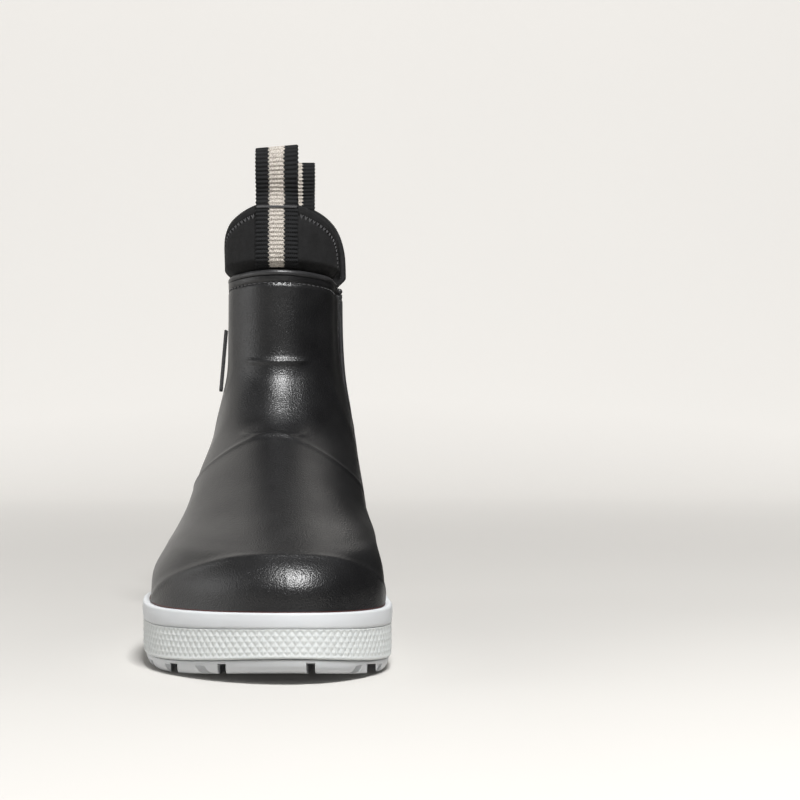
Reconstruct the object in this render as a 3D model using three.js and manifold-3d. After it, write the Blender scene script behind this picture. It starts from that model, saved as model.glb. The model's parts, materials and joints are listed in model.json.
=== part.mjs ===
// An ankle-height rubber rain boot for the wearer's right foot, in millimetres, +Z up.
// The toe points toward -Y, the lateral side is -X and the medial side is +X.
import * as THREE from "three";
import { mergeVertices } from "three/addons/utils/BufferGeometryUtils.js";
import Module from "manifold-3d";

const wasm = await Module();
wasm.setup();

// ---- Driving dimensions ----
const SOLE_LENGTH = 285;
const BALL_WIDTH = 106;
const RIM_HEIGHT = 168; // front and rear of the rubber shaft
const RIM_DIP = 5; // the rim is this much lower at the gores
const SHAFT_FRONT = 8; // Y of the shaft's front face
const SHAFT_REAR = 125;
const TOE_INSET = 15; // how far the toe tip leans to the medial side

const LUG_DEPTH = 4.6;
const TEXTURED_TOP = 19;
const SOLE_STACK = 26.3; // top of the smooth foxing
const FOXING_WALL = 4;
const SMOOTH_PROUD = 0.6; // the smooth band stands this far off the textured one
const TOE_SPRING = 6; // lift of the tread at the toe tip
const TOE_RISE = 2; // lift of the foxing's top there
const SPRING_LENGTH = 47.5; // the toe spring's length from the tip
const MIDSOLE_TOP = 24;
const BOARD_THICKNESS = 2;
const SHANK = { width: 14, thickness: 1.8, front: 5, rear: 100 };
const GROOVE = { width: 3.4, pitch: 15.5, depth: 4, acrossDepth: 3.6 };
const LONG_GROOVES = [-33, -12, 23, 46];

const RUBBER_WALL = 2.6;
const STIFFENER_WALL = 1.5;
const LINING_WALL = 1.3;
const UPPER_INSET = 3; // from the foxing's face to the rubber's face
const FOOTBED_THICKNESS = 5;
const CLEARANCE = 0.3;

const GORE = { centre: 67, width: 46, bottom: 94, lap: 5 };
const COLLAR_WALL = 2.5;
const COLLAR_TUCK = 5; // how far below the rim's low corner the collar reaches
const COLLAR_CLEARANCE = 0.5; // between the collar and the rubber in front of it
const COLLAR_SPREAD = THREE.MathUtils.degToRad(66);
const FRONT_DOME = RIM_HEIGHT + 35; // top of the collar's front
const REAR_DOME = RIM_HEIGHT + 45;
const COLLAR_BULGE = 4.8; // how far the collar swells out above the rim
const COLLAR_LEAN = 1.4; // how far it draws in again toward its edge
const HEM = 5; // stitching line, in from the collar's edge
const BEAD_RADIUS = 1.5;
const THREAD_RADIUS = 0.4;

const WEBBING = { width: 19.5, thickness: 1.2, clearance: 0.55 };
const LOOP = { front: 23.5, rear: 21, gap: 7 };
const LABEL = { height: 30, length: 12, thickness: 0.8, bottom: 114, hem: 35 };

const AROUND = 48; // points round a ring
const LEVELS = 13; // rings up the last

// ---- The last: sections that fan from the sole line to the rim ----
// front and rear are [y, z] ends of a section; y in half sole lengths, z from 0 at the sole to 1 at the rim.
// lateral and medial are half widths at the toe, ball, waist and heel stations, in half ball widths.
const SECTIONS = [
  { front: [-0.979, 0.0], rear: [0.979, 0.0], lateral: [0.77, 0.955, 0.72, 0.64], medial: [0.73, 0.89, 0.7, 0.62] },
  { front: [-0.97, 0.08], rear: [0.989, 0.08], lateral: [0.75, 0.935, 0.72, 0.655], medial: [0.73, 0.89, 0.71, 0.64] },
  { front: [-0.92, 0.145], rear: [0.993, 0.14], lateral: [0.67, 0.845, 0.71, 0.65], medial: [0.7, 0.87, 0.71, 0.64] },
  { front: [-0.828, 0.186], rear: [0.986, 0.195], lateral: [0.59, 0.775, 0.7, 0.63], medial: [0.64, 0.85, 0.715, 0.63] },
  { front: [-0.63, 0.256], rear: [0.975, 0.25], lateral: [0.51, 0.705, 0.68, 0.6], medial: [0.56, 0.765, 0.705, 0.6] },
  { front: [-0.385, 0.358], rear: [0.96, 0.315], lateral: [0.47, 0.665, 0.64, 0.555], medial: [0.5, 0.71, 0.67, 0.565] },
  { front: [-0.126, 0.483], rear: [0.94, 0.405], lateral: [0.42, 0.6, 0.605, 0.5], medial: [0.44, 0.635, 0.635, 0.51] },
  { front: [-0.018, 0.59], rear: [0.922, 0.52], lateral: [0.4, 0.555, 0.575, 0.445], medial: [0.415, 0.57, 0.59, 0.455] },
  { front: [0.046, 0.71], rear: [0.901, 0.66], lateral: [0.395, 0.505, 0.52, 0.4], medial: [0.4, 0.51, 0.535, 0.41] },
  { front: [0.056, 0.84], rear: [0.887, 0.825], lateral: [0.395, 0.495, 0.51, 0.38], medial: [0.395, 0.485, 0.51, 0.39] },
  { front: [0.056, 1.0], rear: [0.877, 1.0], lateral: [0.395, 0.49, 0.515, 0.38], medial: [0.395, 0.485, 0.505, 0.385] },
];
// Stations along a section, as fractions of its length from the front.
const STATIONS = [0.1, 0.28, 0.6, 0.88];

const HALF_LENGTH = SOLE_LENGTH / 2;
const HALF_WIDTH = BALL_WIDTH / 2;
const UPPER_BASE = SOLE_STACK + CLEARANCE;

function hermite(a, b, slopeA, slopeB, u) {
  const u2 = u * u;
  const u3 = u2 * u;
  return a * (2 * u3 - 3 * u2 + 1) + slopeA * (u3 - 2 * u2 + u)
    + b * (3 * u2 - 2 * u3) + slopeB * (u3 - u2);
}

// Smooth curve through values at the given positions, level at both ends.
function curveThrough(positions, values, x) {
  const last = positions.length - 1;
  if (x <= positions[0]) return values[0];
  if (x >= positions[last]) return values[last];
  let i = 0;
  while (x > positions[i + 1]) i++;
  const slope = (k) => (k === 0 || k === last ? 0
    : (values[k + 1] - values[k - 1]) / (positions[k + 1] - positions[k - 1]));
  const span = positions[i + 1] - positions[i];
  return hermite(values[i], values[i + 1], slope(i) * span, slope(i + 1) * span, (x - positions[i]) / span);
}

function smooth(from, to, x) {
  return THREE.MathUtils.smoothstep(x, from, to);
}

// Half width round a section: angle 0 is its front, PI its rear.
const STATION_ANGLES = STATIONS.map((t) => Math.acos(1 - 2 * t));
function halfWidth(widths, angle) {
  const ratios = widths.map((w, i) => w / Math.sin(STATION_ANGLES[i]));
  return curveThrough(STATION_ANGLES, ratios, angle) * Math.sin(angle);
}

// Sideways lean of the toe, and the slight turn of the shaft.
function centreX(y) {
  const toe = Math.max(0, (-y - 20) / (HALF_LENGTH - 20));
  const heel = THREE.MathUtils.clamp((y - SHAFT_FRONT) / (SHAFT_REAR - SHAFT_FRONT), 0, 1);
  return TOE_INSET * toe * toe + 2.5 * heel;
}

// A value of the last at level s, where 0 is the sole line and 1 the rim.
function along(s, pick) {
  const n = SECTIONS.length - 1;
  const x = THREE.MathUtils.clamp(s, 0, 1) * n;
  const i = Math.min(n - 1, Math.floor(x));
  const value = (k) => pick(SECTIONS[THREE.MathUtils.clamp(k, 0, n)]);
  const slope = (k) => (k <= 0 ? value(1) - value(0) : k >= n ? value(n) - value(n - 1)
    : (value(k + 1) - value(k - 1)) / 2);
  return hermite(value(i), value(i + 1), slope(i), slope(i + 1), x - i);
}

// Moves a section end's y so that the shaft keeps its own front and rear.
function placeY(y, z) {
  const shaft = smooth(0.35, 0.75, z);
  const t = (y - 0.056) / (0.877 - 0.056);
  return THREE.MathUtils.lerp(y * HALF_LENGTH, SHAFT_FRONT + t * (SHAFT_REAR - SHAFT_FRONT), shaft);
}

// The rubber's outer face. angle 0 front, PI/2 lateral, PI rear, 3 PI/2 medial.
function facePoint(s, angle) {
  const turn = THREE.MathUtils.euclideanModulo(angle, 2 * Math.PI);
  const lateral = turn <= Math.PI;
  const half = lateral ? turn : 2 * Math.PI - turn;
  const end = (name, axis) => along(s, (section) => section[name][axis]);
  const t = (1 - Math.cos(half)) / 2;
  const zf = end("front", 1);
  const zr = end("rear", 1);
  const y = THREE.MathUtils.lerp(placeY(end("front", 0), zf), placeY(end("rear", 0), zr), t);
  const rise = (RIM_HEIGHT - UPPER_BASE) * THREE.MathUtils.lerp(zf, zr, t);
  const dip = RIM_DIP * smooth(0.7, 1, s) * Math.sin(half) ** 2;
  const over = s > 1 ? (s - 1) * 100 : s < 0 ? s * 100 : 0;
  const widths = STATIONS.map((_, i) => along(s, (section) => section[lateral ? "lateral" : "medial"][i]));
  const x = centreX(y) + (lateral ? -1 : 1) * HALF_WIDTH * halfWidth(widths, half);
  return new THREE.Vector3(x, y, UPPER_BASE + rise - dip + over);
}

function faceNormal(s, angle) {
  const e = 0.01;
  const level = THREE.MathUtils.clamp(s, e, 1 - e);
  const round = facePoint(level, angle + e).sub(facePoint(level, angle - e));
  const up = facePoint(level + e, angle).sub(facePoint(level - e, angle));
  const normal = up.cross(round).normalize();
  if (s >= 0.97 || s <= 0) normal.setZ(0).normalize();
  return normal;
}

// A point at a depth inside the rubber's outer face.
function skin(depth, s, angle) {
  return facePoint(s, angle).addScaledVector(faceNormal(s, angle), -depth);
}

// ---- The sole's outline ----
function outlinePoint(angle) {
  const p = facePoint(0, angle);
  const n = faceNormal(0, angle);
  return { p: p.addScaledVector(n, UPPER_INSET), n };
}

function lift(y) {
  const u = Math.max(0, (SPRING_LENGTH - HALF_LENGTH - y) / SPRING_LENGTH);
  return Math.min(1, u * u);
}

// Height after toe spring: the tread lifts more than the foxing's top.
function sprung(y, z) {
  const share = THREE.MathUtils.clamp(z / SOLE_STACK, 0, 1);
  return z + lift(y) * THREE.MathUtils.lerp(TOE_SPRING, TOE_RISE, share);
}

// ---- Mesh building ----
function geometryFrom(points, faces) {
  const geometry = new THREE.BufferGeometry();
  geometry.setAttribute("position", new THREE.Float32BufferAttribute(points.flatMap((p) => [p.x, p.y, p.z]), 3));
  geometry.setIndex(faces);
  return geometry;
}

function quad(faces, a, b, c, d) {
  faces.push(a, b, c, a, c, d);
}

// Closes a ring by rungs between its two sides, so that the cap follows the toe spring.
function ladderCap(faces, first, count, up) {
  const at = (k) => first + ((k + count) % count);
  for (let k = 0; k < count / 2; k++) {
    const corners = [at(k), at(k + 1), at(-k - 1), at(-k)];
    const ordered = up ? corners : corners.reverse();
    if (k === 0) faces.push(ordered[0], ordered[1], ordered[2]);
    else if (k === count / 2 - 1) faces.push(ordered[0], ordered[1], ordered[3]);
    else quad(faces, ...ordered);
  }
}

// Rings from bottom to top, each with the same count of points, capped at both ends.
function stackedRings(rings) {
  const count = rings[0].length;
  const faces = [];
  for (let r = 0; r + 1 < rings.length; r++) {
    for (let k = 0; k < count; k++) {
      const n = (k + 1) % count;
      const low = r * count;
      quad(faces, low + k, low + count + k, low + count + n, low + n);
    }
  }
  ladderCap(faces, 0, count, true);
  ladderCap(faces, (rings.length - 1) * count, count, false);
  return closed(geometryFrom(rings.flat(), faces));
}

// A closed band: sections[i] is the loop of a cross-section at step i round the boot.
function closedSweep(sections) {
  const size = sections[0].length;
  const faces = [];
  for (let i = 0; i < sections.length; i++) {
    const j = (i + 1) % sections.length;
    for (let k = 0; k < size; k++) {
      const n = (k + 1) % size;
      quad(faces, i * size + k, i * size + n, j * size + n, j * size + k);
    }
  }
  return closed(geometryFrom(sections.flat(), faces));
}

// A slab between two grids of points, outer[row][column] and inner[row][column].
function patchSolid(outer, inner) {
  const rows = outer.length;
  const columns = outer[0].length;
  const size = rows * columns;
  const faces = [];
  for (let r = 0; r + 1 < rows; r++) {
    for (let c = 0; c + 1 < columns; c++) {
      const a = r * columns + c;
      quad(faces, a, a + 1, a + columns + 1, a + columns);
      quad(faces, size + a, size + a + columns, size + a + columns + 1, size + a + 1);
    }
  }
  const edge = [];
  for (let c = 0; c < columns - 1; c++) edge.push(c);
  for (let r = 0; r < rows - 1; r++) edge.push(r * columns + columns - 1);
  for (let c = columns - 1; c > 0; c--) edge.push((rows - 1) * columns + c);
  for (let r = rows - 1; r > 0; r--) edge.push(r * columns);
  edge.forEach((a, i) => {
    const b = edge[(i + 1) % edge.length];
    quad(faces, b, a, size + a, size + b);
  });
  return closed(geometryFrom([...outer.flat(), ...inner.flat()], faces));
}

// Turns the faces out if the surface was wound inward.
function closed(geometry) {
  const index = geometry.index.array;
  const position = geometry.attributes.position;
  const [a, b, c] = [new THREE.Vector3(), new THREE.Vector3(), new THREE.Vector3()];
  let volume = 0;
  for (let i = 0; i < index.length; i += 3) {
    a.fromBufferAttribute(position, index[i]);
    b.fromBufferAttribute(position, index[i + 1]);
    c.fromBufferAttribute(position, index[i + 2]);
    volume += a.dot(b.cross(c));
  }
  if (volume < 0) {
    for (let i = 0; i < index.length; i += 3) [index[i + 1], index[i + 2]] = [index[i + 2], index[i + 1]];
  }
  return geometry;
}

function toSolid(geometry) {
  const bare = new THREE.BufferGeometry();
  bare.setAttribute("position", geometry.getAttribute("position"));
  bare.setIndex(geometry.index);
  const merged = mergeVertices(bare, 1e-3);
  return new wasm.Manifold(new wasm.Mesh({
    numProp: 3,
    vertProperties: new Float32Array(merged.attributes.position.array),
    triVerts: new Uint32Array(merged.index.array),
  }));
}

function fromSolid(solid) {
  const mesh = solid.getMesh();
  const geometry = new THREE.BufferGeometry();
  geometry.setAttribute("position", new THREE.Float32BufferAttribute(mesh.vertProperties, 3));
  geometry.setIndex(new THREE.Uint32BufferAttribute(mesh.triVerts, 1));
  return geometry;
}

// A box given by its low and high corners, with steps along Y so that it can follow the toe spring.
function box(low, high, steps = 1) {
  const size = high.map((v, i) => v - low[i]);
  const geometry = new THREE.BoxGeometry(size[0], size[1], size[2], 1, steps, 1);
  return geometry.translate((low[0] + high[0]) / 2, (low[1] + high[1]) / 2, (low[2] + high[2]) / 2);
}

// Everything below the sprung level z, as a cutter.
function below(z) {
  const geometry = box([-90, -180, -60], [90, 180, z], 60);
  const position = geometry.attributes.position;
  for (let i = 0; i < position.count; i++) {
    if (position.getZ(i) > 0) position.setZ(i, sprung(position.getY(i), z));
  }
  return toSolid(geometry);
}

// ---- Sole unit ----
function outlineRing(inset, z) {
  return Array.from({ length: AROUND }, (_, k) => {
    const { p, n } = outlinePoint((2 * Math.PI * k) / AROUND);
    const q = p.addScaledVector(n, -inset);
    return q.setZ(sprung(q.y, z));
  });
}

function solePlate(levels) {
  return stackedRings(levels.map(([inset, z]) => outlineRing(inset, z)));
}

function foxing(loop) {
  return closedSweep(Array.from({ length: AROUND }, (_, k) => {
    const { p, n } = outlinePoint((2 * Math.PI * k) / AROUND);
    return loop.map(([inset, z]) => {
      const q = p.clone().addScaledVector(n, -inset);
      return q.setZ(sprung(q.y, z));
    });
  }));
}

const CORE_INSET = FOXING_WALL + CLEARANCE;
const TREAD_TOP = LUG_DEPTH + 0.7;
const PLATE_TOP = TREAD_TOP + 3;

function grooveAcross(y) {
  return toSolid(box([-90, y - GROOVE.width / 2, -5], [90, y + GROOVE.width / 2, sprung(y, GROOVE.acrossDepth)]));
}

function grooveAlong(x, from, to) {
  const geometry = box([x - GROOVE.width / 2, from, -5], [x + GROOVE.width / 2, to, GROOVE.depth], 6);
  const position = geometry.attributes.position;
  for (let i = 0; i < position.count; i++) {
    if (position.getZ(i) > 0) position.setZ(i, sprung(position.getY(i), GROOVE.depth));
  }
  return toSolid(geometry);
}

function outsole() {
  let solid = toSolid(solePlate([
    [8, 0], [4, 2.2], [1.4, LUG_DEPTH], [1.2, TREAD_TOP], [CORE_INSET, TREAD_TOP], [CORE_INSET, PLATE_TOP],
  ]));
  const rows = Math.floor((SOLE_LENGTH - 2 * GROOVE.pitch) / GROOVE.pitch);
  for (let i = 0; i <= rows; i++) {
    const y = -HALF_LENGTH + GROOVE.pitch * (i + 1.1);
    solid = solid.subtract(grooveAcross(y));
  }
  for (const x of LONG_GROOVES) {
    solid = solid.subtract(grooveAlong(x, -HALF_LENGTH - 5, -HALF_LENGTH * 0.15));
    solid = solid.subtract(grooveAlong(x, HALF_LENGTH * 0.4, HALF_LENGTH + 5));
  }
  return fromSolid(solid);
}

function texturedFoxing() {
  return foxing([[0, TREAD_TOP + CLEARANCE], [0, TEXTURED_TOP], [FOXING_WALL, TEXTURED_TOP],
    [FOXING_WALL, TREAD_TOP + CLEARANCE]]);
}

function smoothFoxing() {
  const low = TEXTURED_TOP + CLEARANCE;
  return foxing([[-SMOOTH_PROUD, low], [-SMOOTH_PROUD, SOLE_STACK - 1.2], [0.4, SOLE_STACK],
    [FOXING_WALL, SOLE_STACK], [FOXING_WALL, low]]);
}

const SHANK_FLOOR = MIDSOLE_TOP - SHANK.thickness - 2 * CLEARANCE;

function midsole() {
  const block = toSolid(solePlate([[CORE_INSET, PLATE_TOP + CLEARANCE], [CORE_INSET, MIDSOLE_TOP]]));
  const half = SHANK.width / 2 + CLEARANCE;
  const recess = box([-half, SHANK.front - CLEARANCE, SHANK_FLOOR], [half, SHANK.rear + CLEARANCE, MIDSOLE_TOP + 9]);
  return fromSolid(block.subtract(toSolid(recess)));
}

function shank() {
  const length = SHANK.rear - SHANK.front;
  const outline = new THREE.Shape();
  const r = SHANK.width / 2 - 1;
  outline.absarc(0, length / 2 - r - 1, r, 0, Math.PI);
  outline.absarc(0, -length / 2 + r + 1, r, Math.PI, 2 * Math.PI);
  return new THREE.ExtrudeGeometry(outline, { depth: SHANK.thickness, bevelEnabled: false, curveSegments: 8 });
}

function insoleBoard() {
  const low = MIDSOLE_TOP + CLEARANCE;
  return solePlate([[CORE_INSET, low], [CORE_INSET, low + BOARD_THICKNESS - CLEARANCE]]);
}

// ---- Upper ----
function lastRing(depth, s) {
  return Array.from({ length: AROUND }, (_, k) => skin(depth, s, (2 * Math.PI * k) / AROUND));
}

function lastBody(depth, low, high) {
  const levels = [low];
  for (let i = 0; i <= LEVELS; i++) levels.push(i / LEVELS);
  if (high > 1) levels.push(high);
  return toSolid(stackedRings(levels.map((s) => lastRing(depth, s))));
}

const GORE_LAYER = RUBBER_WALL + CLEARANCE;
const LINING_DEPTH = GORE_LAYER + STIFFENER_WALL + CLEARANCE;
const FOOT_DEPTH = LINING_DEPTH + LINING_WALL;

function shell(outer, inner, high = 1) {
  return lastBody(outer, -0.1, high).subtract(lastBody(inner, -0.3, high + 0.2)).subtract(below(UPPER_BASE));
}

// The side opening's outline in the YZ plane: a U, or the same with a margin round it.
function goreOutline(margin, top) {
  const half = GORE.width / 2 + margin;
  const foot = half * 0.82;
  const springLine = GORE.bottom + GORE.width / 2;
  const shape = new THREE.Shape();
  shape.moveTo(half, top);
  shape.lineTo(foot, springLine);
  shape.absellipse(0, springLine, foot, springLine - GORE.bottom + margin, 0, -Math.PI, true);
  shape.lineTo(-half, top);
  shape.closePath();
  return shape;
}

// A prism of an outline drawn in Y and Z, from x = from to x = to.
function sidePrism(shape, from, to) {
  const geometry = new THREE.ExtrudeGeometry(shape, { depth: to - from, bevelEnabled: false, curveSegments: 10 });
  const turn = new THREE.Matrix4().makeBasis(
    new THREE.Vector3(0, 1, 0), new THREE.Vector3(0, 0, 1), new THREE.Vector3(1, 0, 0));
  return toSolid(mergedPositions(geometry.applyMatrix4(turn).translate(from, GORE.centre, 0)));
}

function mergedPositions(geometry) {
  const bare = new THREE.BufferGeometry();
  bare.setAttribute("position", geometry.getAttribute("position"));
  return mergeVertices(bare, 1e-3);
}

function rubberUpper() {
  return fromSolid(shell(0, RUBBER_WALL).subtract(sidePrism(goreOutline(0, RIM_HEIGHT + 30), -90, 90)));
}

const stiffenerLayer = shell(GORE_LAYER, GORE_LAYER + STIFFENER_WALL, 1.08);

// The collar panels come down between the gore's upper corners.
const COLLAR_LOW = RIM_HEIGHT - RIM_DIP - COLLAR_TUCK;

// Each gore laps behind the rubber, and its top stands between the collar panels' side edges.
function gore(side) {
  const from = side < 0 ? -90 : 2;
  const wide = sidePrism(goreOutline(GORE.lap, COLLAR_LOW - CLEARANCE), from, from + 88);
  const spread = side < 0 ? COLLAR_SPREAD : -COLLAR_SPREAD;
  const front = skin(GORE_LAYER + COLLAR_WALL, 1, spread).y + 2 * CLEARANCE;
  const rear = skin(GORE_LAYER + COLLAR_WALL, 1, Math.PI - spread).y - 2 * CLEARANCE;
  const top = toSolid(box([from, front, COLLAR_LOW - 6], [from + 88, rear, RIM_HEIGHT - RIM_DIP + 1.5]));
  return fromSolid(stiffenerLayer.intersect(wide.add(top)));
}

function toePuff() {
  const reach = -HALF_LENGTH * 0.58;
  return fromSolid(stiffenerLayer.intersect(toSolid(box([-90, -180, 0], [90, reach, 52]))));
}

function heelCounter() {
  const reach = GORE.centre + GORE.width / 2 + GORE.lap;
  return fromSolid(stiffenerLayer.intersect(toSolid(box([-90, reach, 0], [90, 180, 84]))));
}

function bootieLining() {
  const outer = lastBody(LINING_DEPTH, -0.1, 1).subtract(below(UPPER_BASE));
  const hollow = lastBody(FOOT_DEPTH, -0.1, 1.2).subtract(below(UPPER_BASE + LINING_WALL));
  const above = toSolid(box([-90, -180, COLLAR_LOW - CLEARANCE], [90, 180, 260]));
  return fromSolid(outer.subtract(hollow).subtract(above));
}

const FOOTBED_BASE = UPPER_BASE + LINING_WALL + CLEARANCE;

function footbed() {
  const body = lastBody(FOOT_DEPTH + CLEARANCE, -0.1, 1);
  const base = below(FOOTBED_BASE);
  return fromSolid(body.intersect(below(FOOTBED_BASE + FOOTBED_THICKNESS)).subtract(base));
}

function heelPad() {
  const outline = new THREE.Shape();
  outline.absellipse(0, 0, 22, 30, 0, 2 * Math.PI);
  return new THREE.ExtrudeGeometry(outline, { depth: 1.6, bevelEnabled: false, curveSegments: 20 });
}

// ---- Rim and collar ----
function rimTop(angle) {
  return facePoint(1, angle).z;
}

// Angle at which the rubber's face reaches distance dy from the gore's centre line.
function angleAtY(y, medial) {
  let low = 0;
  let high = Math.PI;
  for (let i = 0; i < 30; i++) {
    const middle = (low + high) / 2;
    if (facePoint(1, middle).y < y) low = middle;
    else high = middle;
  }
  return medial ? 2 * Math.PI - low : low;
}

function tube(points, radius, sides, steps) {
  const ring = new THREE.Shape();
  for (let i = 0; i < sides; i++) {
    const a = (2 * Math.PI * i) / sides;
    if (i === 0) ring.moveTo(radius, 0);
    else ring.lineTo(radius * Math.cos(a), radius * Math.sin(a));
  }
  ring.closePath();
  const path = new THREE.CatmullRomCurve3(points);
  return mergedPositions(new THREE.ExtrudeGeometry(ring, { steps, bevelEnabled: false, extrudePath: path }));
}

// Points along the rim from gore to gore, across the front (middle 0) or the rear (middle PI).
function rimPath(middle, depth, rise, count, margin) {
  const half = GORE.width / 2 + margin;
  const edge = middle === 0 ? angleAtY(GORE.centre - half) : Math.PI - angleAtY(GORE.centre + half);
  return Array.from({ length: count + 1 }, (_, i) => {
    const angle = middle + edge * (1 - (2 * i) / count);
    return skin(depth, 1, angle).setZ(rimTop(angle) + rise);
  });
}

function rimBead(middle) {
  const points = rimPath(middle, RUBBER_WALL / 2, CLEARANCE + BEAD_RADIUS, 24, 2);
  return tube(points, BEAD_RADIUS, 8, 26);
}

function rimStitching(middle) {
  const points = rimPath(middle, -THREAD_RADIUS - CLEARANCE, -2.2, 24, 3);
  return tube(points, THREAD_RADIUS, 5, 24);
}

const domeOf = (middle) => (middle === 0 ? FRONT_DOME : REAR_DOME);

function collarTop(middle, u) {
  const dome = domeOf(middle);
  const corner = rimTop(middle + COLLAR_SPREAD) + 2.5;
  const fall = Math.min(1, Math.abs(u)) ** 1.7;
  return corner + (dome - corner) * Math.sqrt(1 - fall);
}

// The collar's outer face stands clear behind the rim, then bulges out above it.
function collarPoint(angle, z, depth) {
  const above = z - rimTop(angle);
  const bulge = COLLAR_BULGE * smooth(3.6, 17, above) - COLLAR_LEAN * smooth(17, 40, above);
  return skin(RUBBER_WALL + COLLAR_CLEARANCE + depth - bulge, 1, angle).setZ(z);
}

function collarPanel(middle) {
  const columns = 22;
  const rows = 14;
  const grid = (depth) => Array.from({ length: rows + 1 }, (_, r) => (
    Array.from({ length: columns + 1 }, (__, c) => {
      const u = Math.sin((Math.PI / 2) * (1 - (2 * c) / columns));
      const angle = middle + u * COLLAR_SPREAD;
      const z = THREE.MathUtils.lerp(COLLAR_LOW, collarTop(middle, u), r / rows);
      return collarPoint(angle, z, depth);
    })
  ));
  return patchSolid(grid(0), grid(COLLAR_WALL));
}

// The hem's thread on one side of the pull strip, side 1 or -1, a hem's width in from the edge.
function hemStitching(middle, side) {
  const count = 16;
  const start = Math.abs(angleAtX(middle, WEBBING.width / 2 + THREAD_RADIUS + 2 * CLEARANCE)) / COLLAR_SPREAD;
  const reach = 0.86;
  const corner = collarTop(middle, 1) + 1.5;
  const dome = domeOf(middle) - HEM;
  const points = Array.from({ length: count + 1 }, (_, i) => {
    const u = THREE.MathUtils.lerp(start, reach, i / count);
    const z = corner + (dome - corner) * Math.sqrt(1 - (u / reach) ** 1.9 * 0.93);
    return collarPoint(middle + side * u * COLLAR_SPREAD, z, -THREAD_RADIUS - WEBBING.clearance);
  });
  return tube(points, THREAD_RADIUS, 5, 18);
}

// ---- Pull tabs ----
// Angle off the middle at which the collar is x away from its centre line.
function angleAtX(middle, x) {
  const origin = collarPoint(middle, 190, 0).x;
  let low = 0;
  let high = COLLAR_SPREAD;
  for (let i = 0; i < 30; i++) {
    const half = (low + high) / 2;
    if (Math.abs(collarPoint(middle + half, 190, 0).x - origin) < Math.abs(x)) low = half;
    else high = half;
  }
  return x * Math.cos(middle) > 0 ? -low : low;
}

// A strip of webbing lying on the collar between two depths.
function collarStrip(middle, width, low, high, outer, inner, rows = 10) {
  const columns = 6;
  const grid = (depth) => Array.from({ length: rows + 1 }, (_, r) => (
    Array.from({ length: columns + 1 }, (__, c) => {
      const x = width * (0.5 - c / columns);
      const angle = middle + angleAtX(middle, -x * Math.cos(middle));
      return collarPoint(angle, THREE.MathUtils.lerp(low, high, r / rows), depth);
    })
  ));
  return patchSolid(grid(outer), grid(inner));
}

const STRIP_OUTER = -WEBBING.clearance - WEBBING.thickness;
const TACK_HEIGHT = 2.2;

function pullStrip(middle) {
  const low = rimTop(middle) + 2 * BEAD_RADIUS + 4 * CLEARANCE;
  return collarStrip(middle, WEBBING.width, low, domeOf(middle) - 1.2, STRIP_OUTER, -WEBBING.clearance);
}

function innerTail(middle) {
  const inside = COLLAR_WALL + WEBBING.clearance;
  const top = domeOf(middle) - 1.2;
  return collarStrip(middle, WEBBING.width, top - 18, top, inside, inside + WEBBING.thickness);
}

function barTack(middle) {
  const face = STRIP_OUTER - CLEARANCE;
  const z = domeOf(middle) - 4.2;
  return collarStrip(middle, WEBBING.width - 2, z, z + TACK_HEIGHT, face - 0.8, face, 1);
}

// The free loop in its own frame: the pivot line at the origin, the loop above it.
const FOLD = WEBBING.thickness + 0.4;

function loopSide(rise) {
  const half = LOOP.gap / 2;
  return [[0, -FOLD], [FOLD * 0.75, -FOLD * 0.6], [FOLD, 0.2], [FOLD + 0.5, 3],
    [half * 0.8 + WEBBING.thickness, 8], [half + WEBBING.thickness, rise - 7],
    [half * 0.8 + WEBBING.thickness, rise - 2.6], [half * 0.4 + WEBBING.thickness, rise - 0.6], [0, rise]];
}

function pullLoop(rise) {
  const right = loopSide(rise);
  const left = right.slice(1, -1).reverse().map(([a, b]) => [-a, b]);
  const outline = new THREE.Shape([...right, ...left].map(([a, b]) => new THREE.Vector2(a, b)));
  const t = WEBBING.thickness;
  const half = LOOP.gap / 2;
  const hole = [[0, 2.6], [0.5, 3.4], [half * 0.8, 8.4], [half, rise - 7.3],
    [half * 0.8, rise - t - 2.6], [half * 0.35, rise - t - 0.6], [0, rise - t]];
  const mirror = hole.slice(1, -1).reverse().map(([a, b]) => [-a, b]);
  outline.holes.push(new THREE.Path([...hole, ...mirror].map(([a, b]) => new THREE.Vector2(a, b))));
  const geometry = new THREE.ExtrudeGeometry(outline, { depth: WEBBING.width, bevelEnabled: false });
  const turn = new THREE.Matrix4().makeBasis(
    new THREE.Vector3(0, 1, 0), new THREE.Vector3(0, 0, 1), new THREE.Vector3(1, 0, 0));
  return mergedPositions(geometry.applyMatrix4(turn).translate(-WEBBING.width / 2, 0, 0));
}

function loopPivot(middle) {
  const seat = collarPoint(middle, domeOf(middle), COLLAR_WALL / 2);
  return seat.setZ(domeOf(middle) + CLEARANCE + FOLD);
}

// ---- Side label ----
// How far the rubber's lateral face reaches under the label, within a band of heights.
function lateralReach(low, high) {
  let reach = 0;
  for (let s = 0.6; s <= 1; s += 0.01) {
    for (let angle = 0.6; angle < Math.PI / 2 + 0.1; angle += 0.03) {
      const p = facePoint(s, angle);
      const under = p.y > LABEL.hem - 1 && p.y < LABEL.hem + LABEL.length;
      if (under && p.z > low && p.z < high) reach = Math.max(reach, -p.x);
    }
  }
  return reach;
}

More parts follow.
